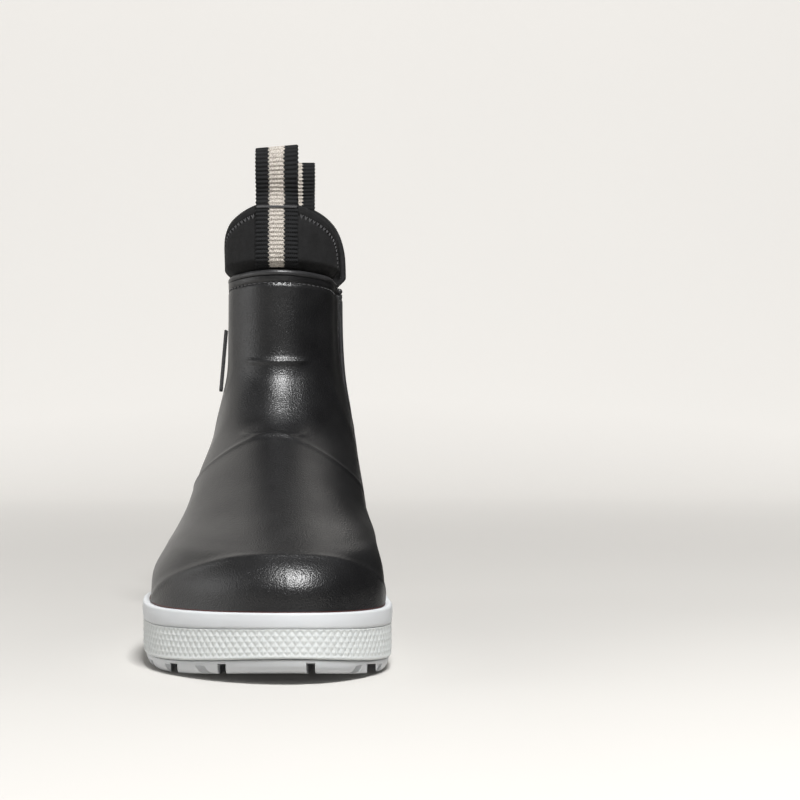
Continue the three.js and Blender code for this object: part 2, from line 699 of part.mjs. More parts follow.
// ---- Assembly ----
const COLOURS = {
  rubber: { color: 0x17181a, roughness: 0.42, metalness: 0 },
  sole: { color: 0xd3d6d8, roughness: 0.55, metalness: 0 },
  textured: { color: 0xccd0ce, roughness: 0.6, metalness: 0 },
  neoprene: { color: 0x202021, roughness: 0.85, metalness: 0 },
  webbing: { color: 0x28292b, roughness: 0.8, metalness: 0 },
  thread: { color: 0x2c2c2e, roughness: 0.7, metalness: 0 },
  lining: { color: 0x35363a, roughness: 0.9, metalness: 0 },
  foam: { color: 0x3c3e42, roughness: 0.9, metalness: 0 },
  board: { color: 0x8d7f69, roughness: 0.9, metalness: 0 },
  steel: { color: 0x9a9da1, roughness: 0.35, metalness: 1 },
  label: { color: 0x141415, roughness: 0.8, metalness: 0 },
};

const boot = new THREE.Group();

function piece(name, geometry, look, position = new THREE.Vector3()) {
  const mesh = new THREE.Mesh(geometry, new THREE.MeshStandardMaterial(COLOURS[look]));
  mesh.name = name;
  mesh.position.copy(position);
  boot.add(mesh);
  return mesh;
}

piece("outsole", outsole(), "sole");
piece("textured_foxing", texturedFoxing(), "textured");
piece("smooth_foxing", smoothFoxing(), "sole");
piece("midsole", midsole(), "sole");
piece("shank", shank(), "steel", new THREE.Vector3(0, (SHANK.front + SHANK.rear) / 2, SHANK_FLOOR + CLEARANCE));
piece("insole_board", insoleBoard(), "board");
piece("footbed", footbed(), "foam");
piece("heel_pad", heelPad(), "foam",
  new THREE.Vector3(0, HALF_LENGTH * 0.66, FOOTBED_BASE + FOOTBED_THICKNESS + CLEARANCE));
piece("rubber_upper", rubberUpper(), "rubber");
piece("toe_puff", toePuff(), "board");
piece("heel_counter", heelCounter(), "board");
piece("bootie_lining", bootieLining(), "lining");
piece("lateral_gore", gore(-1), "neoprene");
piece("medial_gore", gore(1), "neoprene");

for (const [name, middle] of [["front", 0], ["rear", Math.PI]]) {
  piece(name + "_collar", collarPanel(middle), "neoprene");
  piece(name + "_rim_bead", rimBead(middle), "rubber");
  piece(name + "_rim_stitching", rimStitching(middle), "thread");
  for (const [side, turn] of [["lateral", middle === 0 ? 1 : -1], ["medial", middle === 0 ? -1 : 1]]) {
    piece(name + "_" + side + "_hem_stitching", hemStitching(middle, turn), "thread");
  }
  piece(name + "_pull_strip", pullStrip(middle), "webbing");
  piece(name + "_inner_tail", innerTail(middle), "webbing");
  piece(name + "_bar_tack", barTack(middle), "thread");
  piece(name + "_pull_loop", pullLoop(LOOP[name]), "webbing", loopPivot(middle));
}

// The label lies against the shaft, tilted in with it, and hinges about its front edge.
const labelFoot = lateralReach(LABEL.bottom - 2, LABEL.bottom + 2);
const labelHead = lateralReach(LABEL.bottom + LABEL.height - 2, LABEL.bottom + LABEL.height + 2);
const label = piece("side_label", box([-LABEL.thickness, 0, 0], [0, LABEL.length, LABEL.height]), "label",
  new THREE.Vector3(-labelFoot - CLEARANCE, LABEL.hem, LABEL.bottom));
label.rotation.y = Math.atan((labelFoot - labelHead) / LABEL.height);

// The origin stands at the middle of the boot's footprint.
const extent = new THREE.Box3().setFromObject(boot);
const middleOf = extent.getCenter(new THREE.Vector3());
boot.position.set(-middleOf.x, -middleOf.y, -extent.min.z);

const assembly = new THREE.Group();
assembly.add(boot);

export default assembly;
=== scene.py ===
"""An ankle-height rubber rain boot: black rubber upper, pale two-band sole, neoprene collars and pull tabs.

Shapes are worked out in millimetres in the CAD frame, then stored in metres.
"""
import bpy
import json
import math
import numpy as np
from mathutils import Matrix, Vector


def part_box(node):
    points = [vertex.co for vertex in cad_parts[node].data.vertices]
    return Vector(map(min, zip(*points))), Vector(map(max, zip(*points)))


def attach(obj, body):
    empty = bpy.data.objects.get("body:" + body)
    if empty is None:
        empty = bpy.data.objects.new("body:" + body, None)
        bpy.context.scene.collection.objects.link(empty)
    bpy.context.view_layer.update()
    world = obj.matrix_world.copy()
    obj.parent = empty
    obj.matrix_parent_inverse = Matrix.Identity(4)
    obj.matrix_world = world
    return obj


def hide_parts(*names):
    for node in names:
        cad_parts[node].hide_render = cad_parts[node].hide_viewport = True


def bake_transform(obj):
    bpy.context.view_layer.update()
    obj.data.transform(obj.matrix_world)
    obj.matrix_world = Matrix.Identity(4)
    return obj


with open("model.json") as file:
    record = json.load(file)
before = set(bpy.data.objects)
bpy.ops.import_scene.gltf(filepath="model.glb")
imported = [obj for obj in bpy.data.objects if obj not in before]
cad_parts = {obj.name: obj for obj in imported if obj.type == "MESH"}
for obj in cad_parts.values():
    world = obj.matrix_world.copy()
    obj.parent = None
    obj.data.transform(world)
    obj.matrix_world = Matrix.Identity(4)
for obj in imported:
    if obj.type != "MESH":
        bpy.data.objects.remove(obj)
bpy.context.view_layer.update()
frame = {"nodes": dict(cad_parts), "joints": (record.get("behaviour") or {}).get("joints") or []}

# ---- Driving dimensions, in millimetres ----
MM = 0.001
SOLE_LENGTH = 285.0
BALL_WIDTH = 106.0
RIM_HEIGHT = 168.0
RIM_DIP = 5.0
SHAFT_FRONT = 8.0
SHAFT_REAR = 125.0
TOE_INSET = 15.0
LUG_DEPTH = 4.6
TREAD_TOP = 5.3
BAND_LOW = 5.6
TEXTURED_TOP = 19.0
SOLE_STACK = 26.3
TOE_SPRING = 6.0
TOE_RISE = 2.0
SPRING_LENGTH = 47.5
UPPER_BASE = SOLE_STACK + 0.3
UPPER_INSET = 3.0
RUBBER_WALL = 2.6
CAP_LEVEL = 0.24
ARC_LEVEL = 0.6
RIDGE_HEIGHTS = (128.0, 94.0)
# Depths under the rubber's outer face: the gore's face, the lining's two faces, and the footbed's edge.
GORE_DEPTH = 2.9
GORE_WALL = 1.5
LINING_DEPTH = 5.1
FOOT_DEPTH = 6.0
GORE_CENTRE = 67.0
GORE_HALF = 23.0
GORE_BOTTOM = 94.0
RIM_RADIUS = 1.5
COLLAR_WALL = 2.5
COLLAR_SWELL = 4.8
COLLAR_LEAN = 1.4
COLLAR_RADIUS = 40.0
COLLAR_LOW = RIM_HEIGHT - RIM_DIP - 5.0
COLLAR_SPREAD = math.radians(66)
DOMES = {"front": RIM_HEIGHT + 35, "rear": RIM_HEIGHT + 45}
MIDDLES = {"front": 0.0, "rear": math.pi}
HEM = 5.0
ZIGZAG_PITCH = 2.4
ZIGZAG_SWING = 1.8
WEBBING_WIDTH = 19.5
WEBBING_THICKNESS = 1.2
WEBBING_GAP = 0.55
RIB_PITCH = 1.95
YARN_PITCH = 0.85
STRIPE_WIDTH = 7.0
LOOP_RISE = {"front": 23.5, "rear": 21.0}
TWIST = {"front": 0.09, "rear": 0.0}
GROOVE_WIDTH = 3.4
GROOVE_PITCH = 15.5
GROOVE_DEPTH = 4.0
CROSS_DEPTH = 3.6
LONG_GROOVES = (-33, -12, 23, 46)
DIAMOND = 3.2
DIAMOND_HEIGHT = 4.8
LABEL_HALF = 0.4

# ---- Stage, in metres and watts ----
CAMERA_PLACE = (0.0567, -0.842, 0.110)
LENS = 82.1
# Each lamp's place, target, size and power.
LAMPS = {
    "key above": ((0.2, -0.8, 1.12), (0, -0.02, 0.06), (0.36, 0.22), 29),
    "lateral side": ((-1.3, -0.25, 0.45), (0, 0, 0.1), (0.7, 1.0), 5),
    "medial side": ((1.3, 0.1, 0.5), (0, 0, 0.1), (0.3, 0.8), 1),
}
FLOOR_REACH = 14.0
WALL_FOOT = 1.2
WALL_TOP = 4.0
FLOOR_GLOW = 0.02
WALL_GLOW = 0.72
WORLD_STRENGTH = 0.05

HALF_LENGTH = SOLE_LENGTH / 2
HALF_WIDTH = BALL_WIDTH / 2
PIVOTS = {j["name"]: np.array(j["pos_m"]) / MM for j in frame["joints"]}
SHIFT = np.array([PIVOTS["front_pull_hinge"][0], 0.0, 0.0])

# Sections of the last: front y, z, rear y, z, then half widths at four stations, lateral and medial,
# as shares of the half length, the upper's height and the half width.
SECTIONS = np.array([
    [-0.979, 0.0, 0.979, 0.0, 0.77, 0.955, 0.72, 0.64, 0.73, 0.89, 0.7, 0.62],
    [-0.97, 0.08, 0.989, 0.08, 0.75, 0.935, 0.72, 0.655, 0.73, 0.89, 0.71, 0.64],
    [-0.92, 0.145, 0.993, 0.14, 0.67, 0.845, 0.71, 0.65, 0.7, 0.87, 0.71, 0.64],
    [-0.828, 0.186, 0.986, 0.195, 0.59, 0.775, 0.7, 0.63, 0.64, 0.85, 0.715, 0.63],
    [-0.63, 0.256, 0.975, 0.25, 0.51, 0.705, 0.68, 0.6, 0.56, 0.765, 0.705, 0.6],
    [-0.385, 0.358, 0.96, 0.315, 0.47, 0.665, 0.64, 0.555, 0.5, 0.71, 0.67, 0.565],
    [-0.126, 0.483, 0.94, 0.405, 0.42, 0.6, 0.605, 0.5, 0.44, 0.635, 0.635, 0.51],
    [-0.018, 0.59, 0.922, 0.52, 0.4, 0.555, 0.575, 0.445, 0.415, 0.57, 0.59, 0.455],
    [0.046, 0.71, 0.901, 0.66, 0.395, 0.505, 0.52, 0.4, 0.4, 0.51, 0.535, 0.41],
    [0.056, 0.84, 0.887, 0.825, 0.395, 0.495, 0.51, 0.38, 0.395, 0.485, 0.51, 0.39],
    [0.056, 1.0, 0.877, 1.0, 0.395, 0.49, 0.515, 0.38, 0.395, 0.485, 0.505, 0.385],
])
STATIONS = np.arccos(1 - 2 * np.array([0.1, 0.28, 0.6, 0.88]))
SHAFT_SHARES = (SECTIONS[-1, 0], SECTIONS[-1, 2])


# ---- The last's surface ----
def hermite(a, b, slope_a, slope_b, u):
    """A cubic from a to b as u goes from 0 to 1, with the slopes given at its ends."""
    u2, u3 = u * u, u * u * u
    return (a * (2 * u3 - 3 * u2 + 1) + slope_a * (u3 - 2 * u2 + u)
            + b * (3 * u2 - 2 * u3) + slope_b * (u3 - u2))


def smooth(low, high, x):
    """Eases from 0 at low to 1 at high."""
    t = np.clip((x - low) / (high - low), 0, 1)
    return t * t * (3 - 2 * t)


def lerp(a, b, t):
    return a + (b - a) * t


def turns(count):
    """Even angles all the way round."""
    return np.arange(count) * 2 * math.pi / count


def along(s):
    """The section's twelve values at level s, 0 at the sole line and 1 at the rim."""
    count = len(SECTIONS) - 1
    x = np.clip(s, 0, 1) * count
    i = np.minimum(count - 1, x.astype(int))
    slopes = np.gradient(SECTIONS, axis=0)
    u = (x - i)[..., None]
    return hermite(SECTIONS[i], SECTIONS[i + 1], slopes[i], slopes[i + 1], u)


def half_width(widths, angle):
    """Half width round a section from its values at the stations; angle 0 is its front."""
    ratios = widths / np.sin(STATIONS)
    slopes = np.zeros_like(ratios)
    slopes[..., 1:-1] = (ratios[..., 2:] - ratios[..., :-2]) / (STATIONS[2:] - STATIONS[:-2])
    x = np.clip(angle, STATIONS[0], STATIONS[-1])
    i = np.clip(np.searchsorted(STATIONS, x, side="right") - 1, 0, len(STATIONS) - 2)
    span = STATIONS[i + 1] - STATIONS[i]

    def at(values, k):
        return np.take_along_axis(values, k[..., None], -1)[..., 0]

    ratio = hermite(at(ratios, i), at(ratios, i + 1), at(slopes, i) * span,
                    at(slopes, i + 1) * span, (x - STATIONS[i]) / span)
    return ratio * np.sin(angle)


def centre_x(y):
    """The middle of the last at y: the toe swings toward the medial side."""
    toe = np.maximum(0, (-y - 20) / (HALF_LENGTH - 20))
    heel = np.clip((y - SHAFT_FRONT) / (SHAFT_REAR - SHAFT_FRONT), 0, 1)
    return TOE_INSET * toe * toe + 2.5 * heel


def place_y(y, z):
    """A share of the sole's length low down, and of the shaft's depth above, in millimetres."""
    t = (y - SHAFT_SHARES[0]) / (SHAFT_SHARES[1] - SHAFT_SHARES[0])
    return lerp(y * HALF_LENGTH, lerp(SHAFT_FRONT, SHAFT_REAR, t), smooth(0.35, 0.75, z))


def face_point(s, angle):
    """The rubber's outer face. Angle 0 is the front, pi/2 lateral, pi the rear."""
    s, angle = np.broadcast_arrays(np.asarray(s, float), np.asarray(angle, float))
    turn = np.mod(angle, 2 * math.pi)
    lateral = turn <= math.pi
    half = np.where(lateral, turn, 2 * math.pi - turn)
    v = along(s)
    t = (1 - np.cos(half)) / 2
    y = lerp(place_y(v[..., 0], v[..., 1]), place_y(v[..., 2], v[..., 3]), t)
    rise = (RIM_HEIGHT - UPPER_BASE) * lerp(v[..., 1], v[..., 3], t)
    dip = RIM_DIP * smooth(0.7, 1, s) * np.sin(half) ** 2
    over = np.where(s > 1, (s - 1) * 100, np.where(s < 0, s * 100, 0))
    widths = np.where(lateral[..., None], v[..., 4:8], v[..., 8:12])
    x = centre_x(y) + np.where(lateral, -1, 1) * HALF_WIDTH * half_width(widths, half)
    return np.stack([x, y, UPPER_BASE + rise - dip + over], -1)


def face_normal(s, angle):
    """The face's outward normal, level near the rim and at the sole line."""
    e = 0.01
    s, angle = np.broadcast_arrays(np.asarray(s, float), np.asarray(angle, float))
    level = np.clip(s, e, 1 - e)
    around = face_point(level, angle + e) - face_point(level, angle - e)
    up = face_point(level + e, angle) - face_point(level - e, angle)
    n = np.cross(up, around)
    n /= np.linalg.norm(n, axis=-1, keepdims=True)
    upright = (smooth(0.94, 0.98, s) + (s <= 0)).clip(0, 1)
    n[..., 2] *= 1 - upright
    return n / np.linalg.norm(n, axis=-1, keepdims=True)


def skin(depth, s, angle):
    """A point at a depth under the rubber's outer face."""
    depth = np.asarray(depth, float)
    return face_point(s, angle) - face_normal(s, angle) * depth[..., None]


def lift(y):
    """Share of the toe spring at y."""
    return np.minimum(1, np.maximum(0, (SPRING_LENGTH - HALF_LENGTH - y) / SPRING_LENGTH) ** 2)


def sprung(y, z):
    """A sole height raised by the toe spring, less so toward the sole's top."""
    return z + lift(y) * lerp(TOE_SPRING, TOE_RISE, np.clip(z / SOLE_STACK, 0, 1))


def outline(angle, inset, z):
    """A point of the sole's side, inset from its outline, at a height before toe spring."""
    out = UPPER_INSET - np.asarray(inset, float)
    p = face_point(0, angle) + face_normal(0, angle) * out[..., None]
    p[..., 2] = sprung(p[..., 1], z)
    return p


def rim_top(angle):
    return face_point(1, angle)[..., 2]


def bisect(test, low, high):
    """Where test(x) turns from true to false, for arrays of x."""
    for _ in range(30):
        middle = (low + high) / 2
        inside = test(middle)
        low = np.where(inside, middle, low)
        high = np.where(inside, high, middle)
    return (low + high) / 2


def angle_at_y(s, y):
    """The lateral angle at which the face at level s reaches y."""
    low = np.zeros(np.broadcast(s, y).shape)
    return bisect(lambda a: face_point(s, a)[..., 1] < y, low, low + math.pi)


# ---- Meshes ----
def mesh_object(name, points, faces, material, body="boot", uv=None):
    """Points in millimetres in the part's own axes; the object rides on a body."""
    mesh = bpy.data.meshes.new(name)
    coordinates = (np.asarray(points, float).reshape(-1, 3) + SHIFT) * MM
    mesh.from_pydata(coordinates.tolist(), [], [tuple(f) for f in faces])
    if uv is not None:
        layer = mesh.uv_layers.new(name="UVMap")
        loops = np.zeros(len(mesh.loops), np.int32)
        mesh.loops.foreach_get("vertex_index", loops)
        layer.data.foreach_set("uv", np.asarray(uv, float).reshape(-1, 2)[loops].ravel())
    mesh.materials.append(material)
    mesh.polygons.foreach_set("use_smooth", np.ones(len(mesh.polygons), bool))
    mesh.update()
    made = bpy.data.objects.new(name, mesh)
    bpy.context.scene.collection.objects.link(made)
    if body:
        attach(made, body)
    return made


def grid_faces(rows, columns, closed=False, first=0, flip=False):
    """Quads between the rows of a grid of points; closed joins each row's ends."""
    r, c = np.meshgrid(np.arange(rows - 1), np.arange(columns if closed else columns - 1), indexing="ij")
    n = (c + 1) % columns
    quads = np.stack([r * columns + c, r * columns + n, (r + 1) * columns + n, (r + 1) * columns + c], -1)
    quads = quads.reshape(-1, 4) + first
    return quads[:, ::-1] if flip else quads


def turned_out(points, faces):
    """The faces, wound so that the closed surface encloses a positive volume."""
    p = np.asarray(points, float).reshape(-1, 3)
    f = np.array([[q[0], q[1], q[2]] for q in faces] + [[q[0], q[2], q[3]] for q in faces if len(q) == 4])
    volume = np.einsum("ij,ij->i", p[f[:, 0]], np.cross(p[f[:, 1]], p[f[:, 2]])).sum()
    return faces if volume > 0 else [tuple(q)[::-1] for q in faces]


def closed_band(name, loops, material):
    """A ring of cross-sections: loops[i, k] is point k of the section at step i."""
    steps, size = loops.shape[:2]
    quads = grid_faces(steps + 1, size, closed=True) % (steps * size)
    return mesh_object(name, loops, turned_out(loops, quads.tolist()), material)


def fan(count):
    """Triangles over a ring of points, all from its first one."""
    return [(0, k, k + 1) for k in range(1, count - 1)]


def strips(count):
    """Quads over a ring of points, each reaching from one side of it to the other."""
    return [tuple(dict.fromkeys([k, (k + 1) % count, (-k - 1) % count, (-k) % count]))
            for k in range(count // 2)]


def stack(name, rings, patches, material, body="boot"):
    """Rings of points joined in order, with patches of faces over the first and the last."""
    rings = np.asarray(rings, float)
    count = rings.shape[1]
    last = (len(rings) - 1) * count
    faces = grid_faces(len(rings), count, closed=True).tolist()
    faces += [q[::-1] for q in patches]
    faces += [tuple(i + last for i in q) for q in patches]
    return mesh_object(name, rings, turned_out(rings, faces), material, body=body)


def slab(name, outer, inner, material, uv=None, **options):
    """A sheet between two grids of the same shape, closed along its edges."""
    rows, columns = outer.shape[:2]
    size = rows * columns
    faces = grid_faces(rows, columns).tolist() + grid_faces(rows, columns, first=size, flip=True).tolist()
    edge = list(range(columns - 1))
    edge += [r * columns + columns - 1 for r in range(rows - 1)]
    edge += [(rows - 1) * columns + c for c in range(columns - 1, 0, -1)]
    edge += [r * columns for r in range(rows - 1, 0, -1)]
    for a, b in zip(edge, edge[1:] + edge[:1]):
        faces.append((b, a, size + a, size + b))
    points = np.concatenate([outer.reshape(-1, 3), inner.reshape(-1, 3)])
    if uv is not None:
        uv = np.concatenate([uv.reshape(-1, 2)] * 2)
    return mesh_object(name, points, turned_out(points, faces), material, uv=uv, **options)


def tube_mesh(path, radius, sides):
    """Points and faces of a round tube along a path, with rounded-off ends."""
    path = np.asarray(path, float)
    tangent = np.gradient(path, axis=0)
    tangent /= np.linalg.norm(tangent, axis=1, keepdims=True)
    reference = np.array([0.0, 0.0, 1.0]) if abs(tangent[0, 2]) < 0.8 else np.array([0.0, 1.0, 0.0])
    side = np.cross(tangent, reference)
    side /= np.linalg.norm(side, axis=1, keepdims=True)
    other = np.cross(side, tangent)
    scale = np.ones(len(path))
    scale[[0, -1]] = 0.45
    turn = turns(sides)
    ring = side[:, None] * np.cos(turn)[None, :, None] + other[:, None] * np.sin(turn)[None, :, None]
    points = (path[:, None] + ring * (radius * scale)[:, None, None]).reshape(-1, 3)
    faces = grid_faces(len(path), sides, closed=True).tolist()
    last = (len(path) - 1) * sides
    faces.append(list(range(sides))[::-1])
    faces.append(list(range(last, last + sides)))
    return points, faces


def tubes(name, paths, radius, material, sides):
    """Several tubes as one piece, such as the stitches of a row."""
    points, faces, first = [], [], 0
    for path in paths:
        p, f = tube_mesh(path, radius, sides)
        points.append(p)
        faces += [[i + first for i in q] for q in f]
        first += len(p)
    return mesh_object(name, np.concatenate(points), faces, material)


def run_along(path):
    """The distance along a path at each of its points."""
    return np.append(0, np.cumsum(np.linalg.norm(np.diff(path, axis=0), axis=1)))


def resampled(path, where):
    """The points of a path at given distances along it."""
    run = run_along(path)
    return np.stack([np.interp(where, run, values) for values in path.T], -1)


def stitches(path, length, gap):
    """Short dashes along a path."""
    starts = np.arange(0, run_along(path)[-1] - length, length + gap)
    return [resampled(path, np.linspace(start, start + length, 5)) for start in starts]


def cut(piece, cutters):
    """Subtracts each cutter from the piece, and removes the cutters."""
    for cutter in cutters:
        modifier = piece.modifiers.new("cut", "BOOLEAN")
        modifier.operation = "DIFFERENCE"
        modifier.solver = "MANIFOLD"
        modifier.object = cutter
    graph = bpy.context.evaluated_depsgraph_get()
    mesh = bpy.data.meshes.new_from_object(piece.evaluated_get(graph), depsgraph=graph)
    piece.modifiers.clear()
    piece.data = mesh
    for cutter in cutters:
        bpy.data.objects.remove(cutter)
    mesh.set_sharp_from_angle(angle=math.radians(32))
    return piece


def block(low, high, steps=1):
    """A box to cut with; in more than one step along Y, its top follows the toe spring."""
    rings = []
    for y in np.linspace(low[1], high[1], steps + 1):
        top = sprung(y, high[2]) if steps > 1 else high[2]
        rings.append([(low[0], y, low[2]), (high[0], y, low[2]), (high[0], y, top), (low[0], y, top)])
    return stack("cutter", rings, [(0, 1, 2, 3)], rubber, body=None)


# ---- Materials ----
class Finish:
    """A principled material with helpers for its procedural detail."""

    def __init__(self, name, colour, roughness, **sockets):
        self.material = bpy.data.materials.new(name)
        self.material.use_nodes = True
        self.tree = self.material.node_tree
        self.shader = next(n for n in self.tree.nodes if n.type == "BSDF_PRINCIPLED")
        self.shader.inputs["Base Color"].default_value = (*colour, 1)
        self.shader.inputs["Roughness"].default_value = roughness
        for socket, value in sockets.items():
            self.shader.inputs[socket.replace("_", " ")].default_value = value
        self.place = self.node("ShaderNodeTexCoord").outputs["Object"]
        self.normal = None

    def node(self, kind, **values):
        made = self.tree.nodes.new(kind)
        for key, value in values.items():
            setattr(made, key, value)
        return made

    def link(self, a, b):
        self.tree.links.new(a, b)

    def feed(self, socket, value):
        """Gives a socket a constant, or the output of another node."""
        if isinstance(value, bpy.types.NodeSocket):
            self.link(value, socket)
        else:
            socket.default_value = value

    def noise(self, size, detail=3.0, stretch=(1, 1, 1)):
        """Noise with features about size millimetres across."""
        mapping = self.node("ShaderNodeMapping")
        mapping.inputs["Scale"].default_value = stretch
        texture = self.node("ShaderNodeTexNoise")
        texture.inputs["Scale"].default_value = 1 / (size * MM)
        texture.inputs["Detail"].default_value = detail
        self.link(self.place, mapping.inputs["Vector"])
        self.link(mapping.outputs[0], texture.inputs["Vector"])
        return texture.outputs["Fac"]

    def cells(self, size):
        """Rounded cells about size millimetres across."""
        texture = self.node("ShaderNodeTexVoronoi")
        texture.inputs["Scale"].default_value = 1 / (size * MM)
        self.link(self.place, texture.inputs["Vector"])
        return texture.outputs["Distance"]

    def math(self, operation, a, b=0.0):
        made = self.node("ShaderNodeMath", operation=operation)
        self.feed(made.inputs[0], a)
        self.feed(made.inputs[1], b)
        return made.outputs[0]

    def mix(self, share, first, second):
        """A colour between two, each a tuple or the output of another node."""
        made = self.node("ShaderNodeMix", data_type="RGBA")
        self.feed(made.inputs[0], share)
        sockets = [s for s in made.inputs if s.type == "RGBA"]
        for socket, value in zip(sockets, (first, second)):
            self.feed(socket, (*value, 1) if isinstance(value, tuple) else value)
        return next(s for s in made.outputs if s.type == "RGBA")

    def spread(self, value, low, high, from_low=0.3, from_high=0.7):
        """Stretches a value's usual range over low to high."""
        made = self.node("ShaderNodeMapRange")
        made.inputs["From Min"].default_value = from_low
        made.inputs["From Max"].default_value = from_high
        made.inputs["To Min"].default_value = low
        made.inputs["To Max"].default_value = high
        self.link(value, made.inputs["Value"])
        return made.outputs[0]

    def bump(self, height, depth):
        """Adds relief of the given depth in millimetres."""
        made = self.node("ShaderNodeBump")
        made.inputs["Distance"].default_value = depth * MM
        self.link(height, made.inputs["Height"])
        if self.normal is not None:
            self.link(self.normal, made.inputs["Normal"])
        self.normal = made.outputs[0]
        self.link(self.normal, self.shader.inputs["Normal"])

    def vary_roughness(self, value, low, high):
        self.link(self.spread(value, low, high), self.shader.inputs["Roughness"])

    def vary_colour(self, value, first, second):
        mixed = self.mix(self.spread(value, 0, 1), tuple(first), tuple(second))
        self.link(mixed, self.shader.inputs["Base Color"])


def rubber_finish():
    made = Finish("black rubber", (0.006, 0.006, 0.0065), 0.34, Specular_IOR_Level=0.55)
    made.vary_colour(made.noise(14), (0.005, 0.005, 0.0055), (0.009, 0.009, 0.0095))
    made.vary_roughness(made.noise(22), 0.32, 0.39)
    made.bump(made.cells(0.8), 0.08)
    made.bump(made.noise(0.5, detail=1), 0.11)
    return made.material


def bead_finish():
    made = Finish("rolled rubber edge", (0.02, 0.02, 0.021), 0.36)
    made.vary_colour(made.noise(6), (0.017, 0.017, 0.018), (0.026, 0.026, 0.027))
    made.vary_roughness(made.noise(3), 0.3, 0.42)
    made.bump(made.noise(0.8), 0.04)
    return made.material


def sole_finish(name, tone, roughness):
    made = Finish(name, tone, roughness, Subsurface_Weight=0.08)
    made.shader.inputs["Subsurface Radius"].default_value = (0.004, 0.0035, 0.003)
    darker = tuple(v * 0.95 for v in tone)
    made.vary_colour(made.noise(25), darker, tone)
    made.vary_roughness(made.noise(9), roughness - 0.05, roughness + 0.06)
    made.bump(made.noise(0.45, detail=2), 0.03)
    return made.material


def knit_finish(name, first, second, pitch, sheen):
    """A fine jersey face over foam: small cells in a soft ground."""
    made = Finish(name, first, 0.88, Sheen_Weight=sheen, Sheen_Roughness=0.5, Specular_IOR_Level=0.3)
    made.vary_colour(made.noise(5), first, second)
    made.vary_roughness(made.noise(2), 0.82, 0.95)
    made.bump(made.cells(pitch), 0.16)
    made.bump(made.noise(3), 0.12)
    return made.material


def thread_finish(name, tone):
    made = Finish(name, tone, 0.62, Sheen_Weight=0.2)
    made.vary_colour(made.noise(0.6), tuple(v * 0.7 for v in tone), tuple(v * 1.25 for v in tone))
    made.bump(made.noise(0.25), 0.05)
    return made.material


def webbing_finish():
    """Ribbed webbing with a pale centre stripe; U runs across in millimetres and V along."""
    made = Finish("ribbed webbing", (0.015, 0.016, 0.017), 0.85, Specular_IOR_Level=0.25)
    uv = made.node("ShaderNodeUVMap", uv_map="UVMap")
    split = made.node("ShaderNodeSeparateXYZ")
    made.link(uv.outputs[0], split.inputs[0])
    across, run = split.outputs[0], split.outputs[1]
    rib = made.math("SINE", made.math("MULTIPLY", run, 2 * math.pi / RIB_PITCH))
    edge = made.math("ADD", made.math("ABSOLUTE", across), made.math("MULTIPLY", rib, 0.4))
    wander = made.math("MULTIPLY", made.math("SUBTRACT", made.noise(0.7), 0.5), 0.7)
    stripe = made.math("LESS_THAN", made.math("ADD", edge, wander), STRIPE_WIDTH / 2)
    dark = made.mix(made.spread(made.noise(0.5), 0, 1), (0.005, 0.0053, 0.0057), (0.011, 0.0115, 0.0125))
    pale = made.mix(made.spread(made.noise(0.55, detail=1), 0, 1, 0.35, 0.6),
                    (0.24, 0.215, 0.19), (0.48, 0.445, 0.40))
    made.link(made.mix(stripe, dark, pale), made.shader.inputs["Base Color"])
    yarn = made.math("SINE", made.math("MULTIPLY", across, 2 * math.pi / YARN_PITCH))
    made.bump(made.math("MULTIPLY", yarn, rib), 0.12)
    made.bump(made.noise(0.3), 0.08)
    return made.material


def label_finish():
    """A plain close weave, drawn out along the label's height."""
    made = Finish("woven label", (0.012, 0.012, 0.013), 0.7, Sheen_Weight=0.2)
    made.vary_colour(made.noise(0.6, stretch=(1, 1, 4)), (0.008, 0.008, 0.009), (0.03, 0.03, 0.032))
    made.bump(made.noise(0.3, stretch=(1, 1, 3)), 0.1)
    return made.material


def plain_finish(name, tone, roughness, grain, metallic=0.0):
    """A finish for small or hidden pieces; grain is in millimetres."""
    made = Finish(name, tone, roughness, Metallic=metallic)
    made.vary_colour(made.noise(grain * 6), tuple(v * 0.8 for v in tone), tone)
    made.vary_roughness(made.noise(grain * 3), roughness * 0.9, min(1, roughness * 1.1))
    made.bump(made.noise(grain), 0.06)
    return made.material


rubber = rubber_finish()
bead = bead_finish()
pale_rubber = sole_finish("pale sole rubber", (0.56, 0.575, 0.59), 0.42)
textured_rubber = sole_finish("textured sole rubber", (0.55, 0.57, 0.565), 0.4)
neoprene = knit_finish("neoprene", (0.005, 0.005, 0.0052), (0.009, 0.009, 0.0094), 0.55, 0.0)
gore_knit = knit_finish("elastic gore", (0.006, 0.006, 0.0065), (0.011, 0.011, 0.0115), 0.8, 0.02)
lining_knit = knit_finish("lining knit", (0.028, 0.029, 0.032), (0.04, 0.041, 0.045), 0.9, 0.3)
foam_cloth = knit_finish("footbed cloth", (0.035, 0.037, 0.042), (0.055, 0.057, 0.062), 1.1, 0.3)
black_thread = thread_finish("black thread", (0.03, 0.03, 0.032))
grey_thread = thread_finish("grey thread", (0.032, 0.032, 0.034))
red_line = plain_finish("cement line", (0.06, 0.012, 0.010), 0.5, 0.8)
webbing = webbing_finish()
label_weave = label_finish()
fibre_board = plain_finish("fibre board", (0.30, 0.24, 0.17), 0.85, 0.9)
spring_steel = plain_finish("spring steel", (0.45, 0.46, 0.48), 0.35, 0.6, metallic=1.0)
core_foam = plain_finish("midsole foam", (0.6, 0.61, 0.62), 0.8, 1.2)


# ---- Sole ----
AROUND = 720
TURN = turns(AROUND)


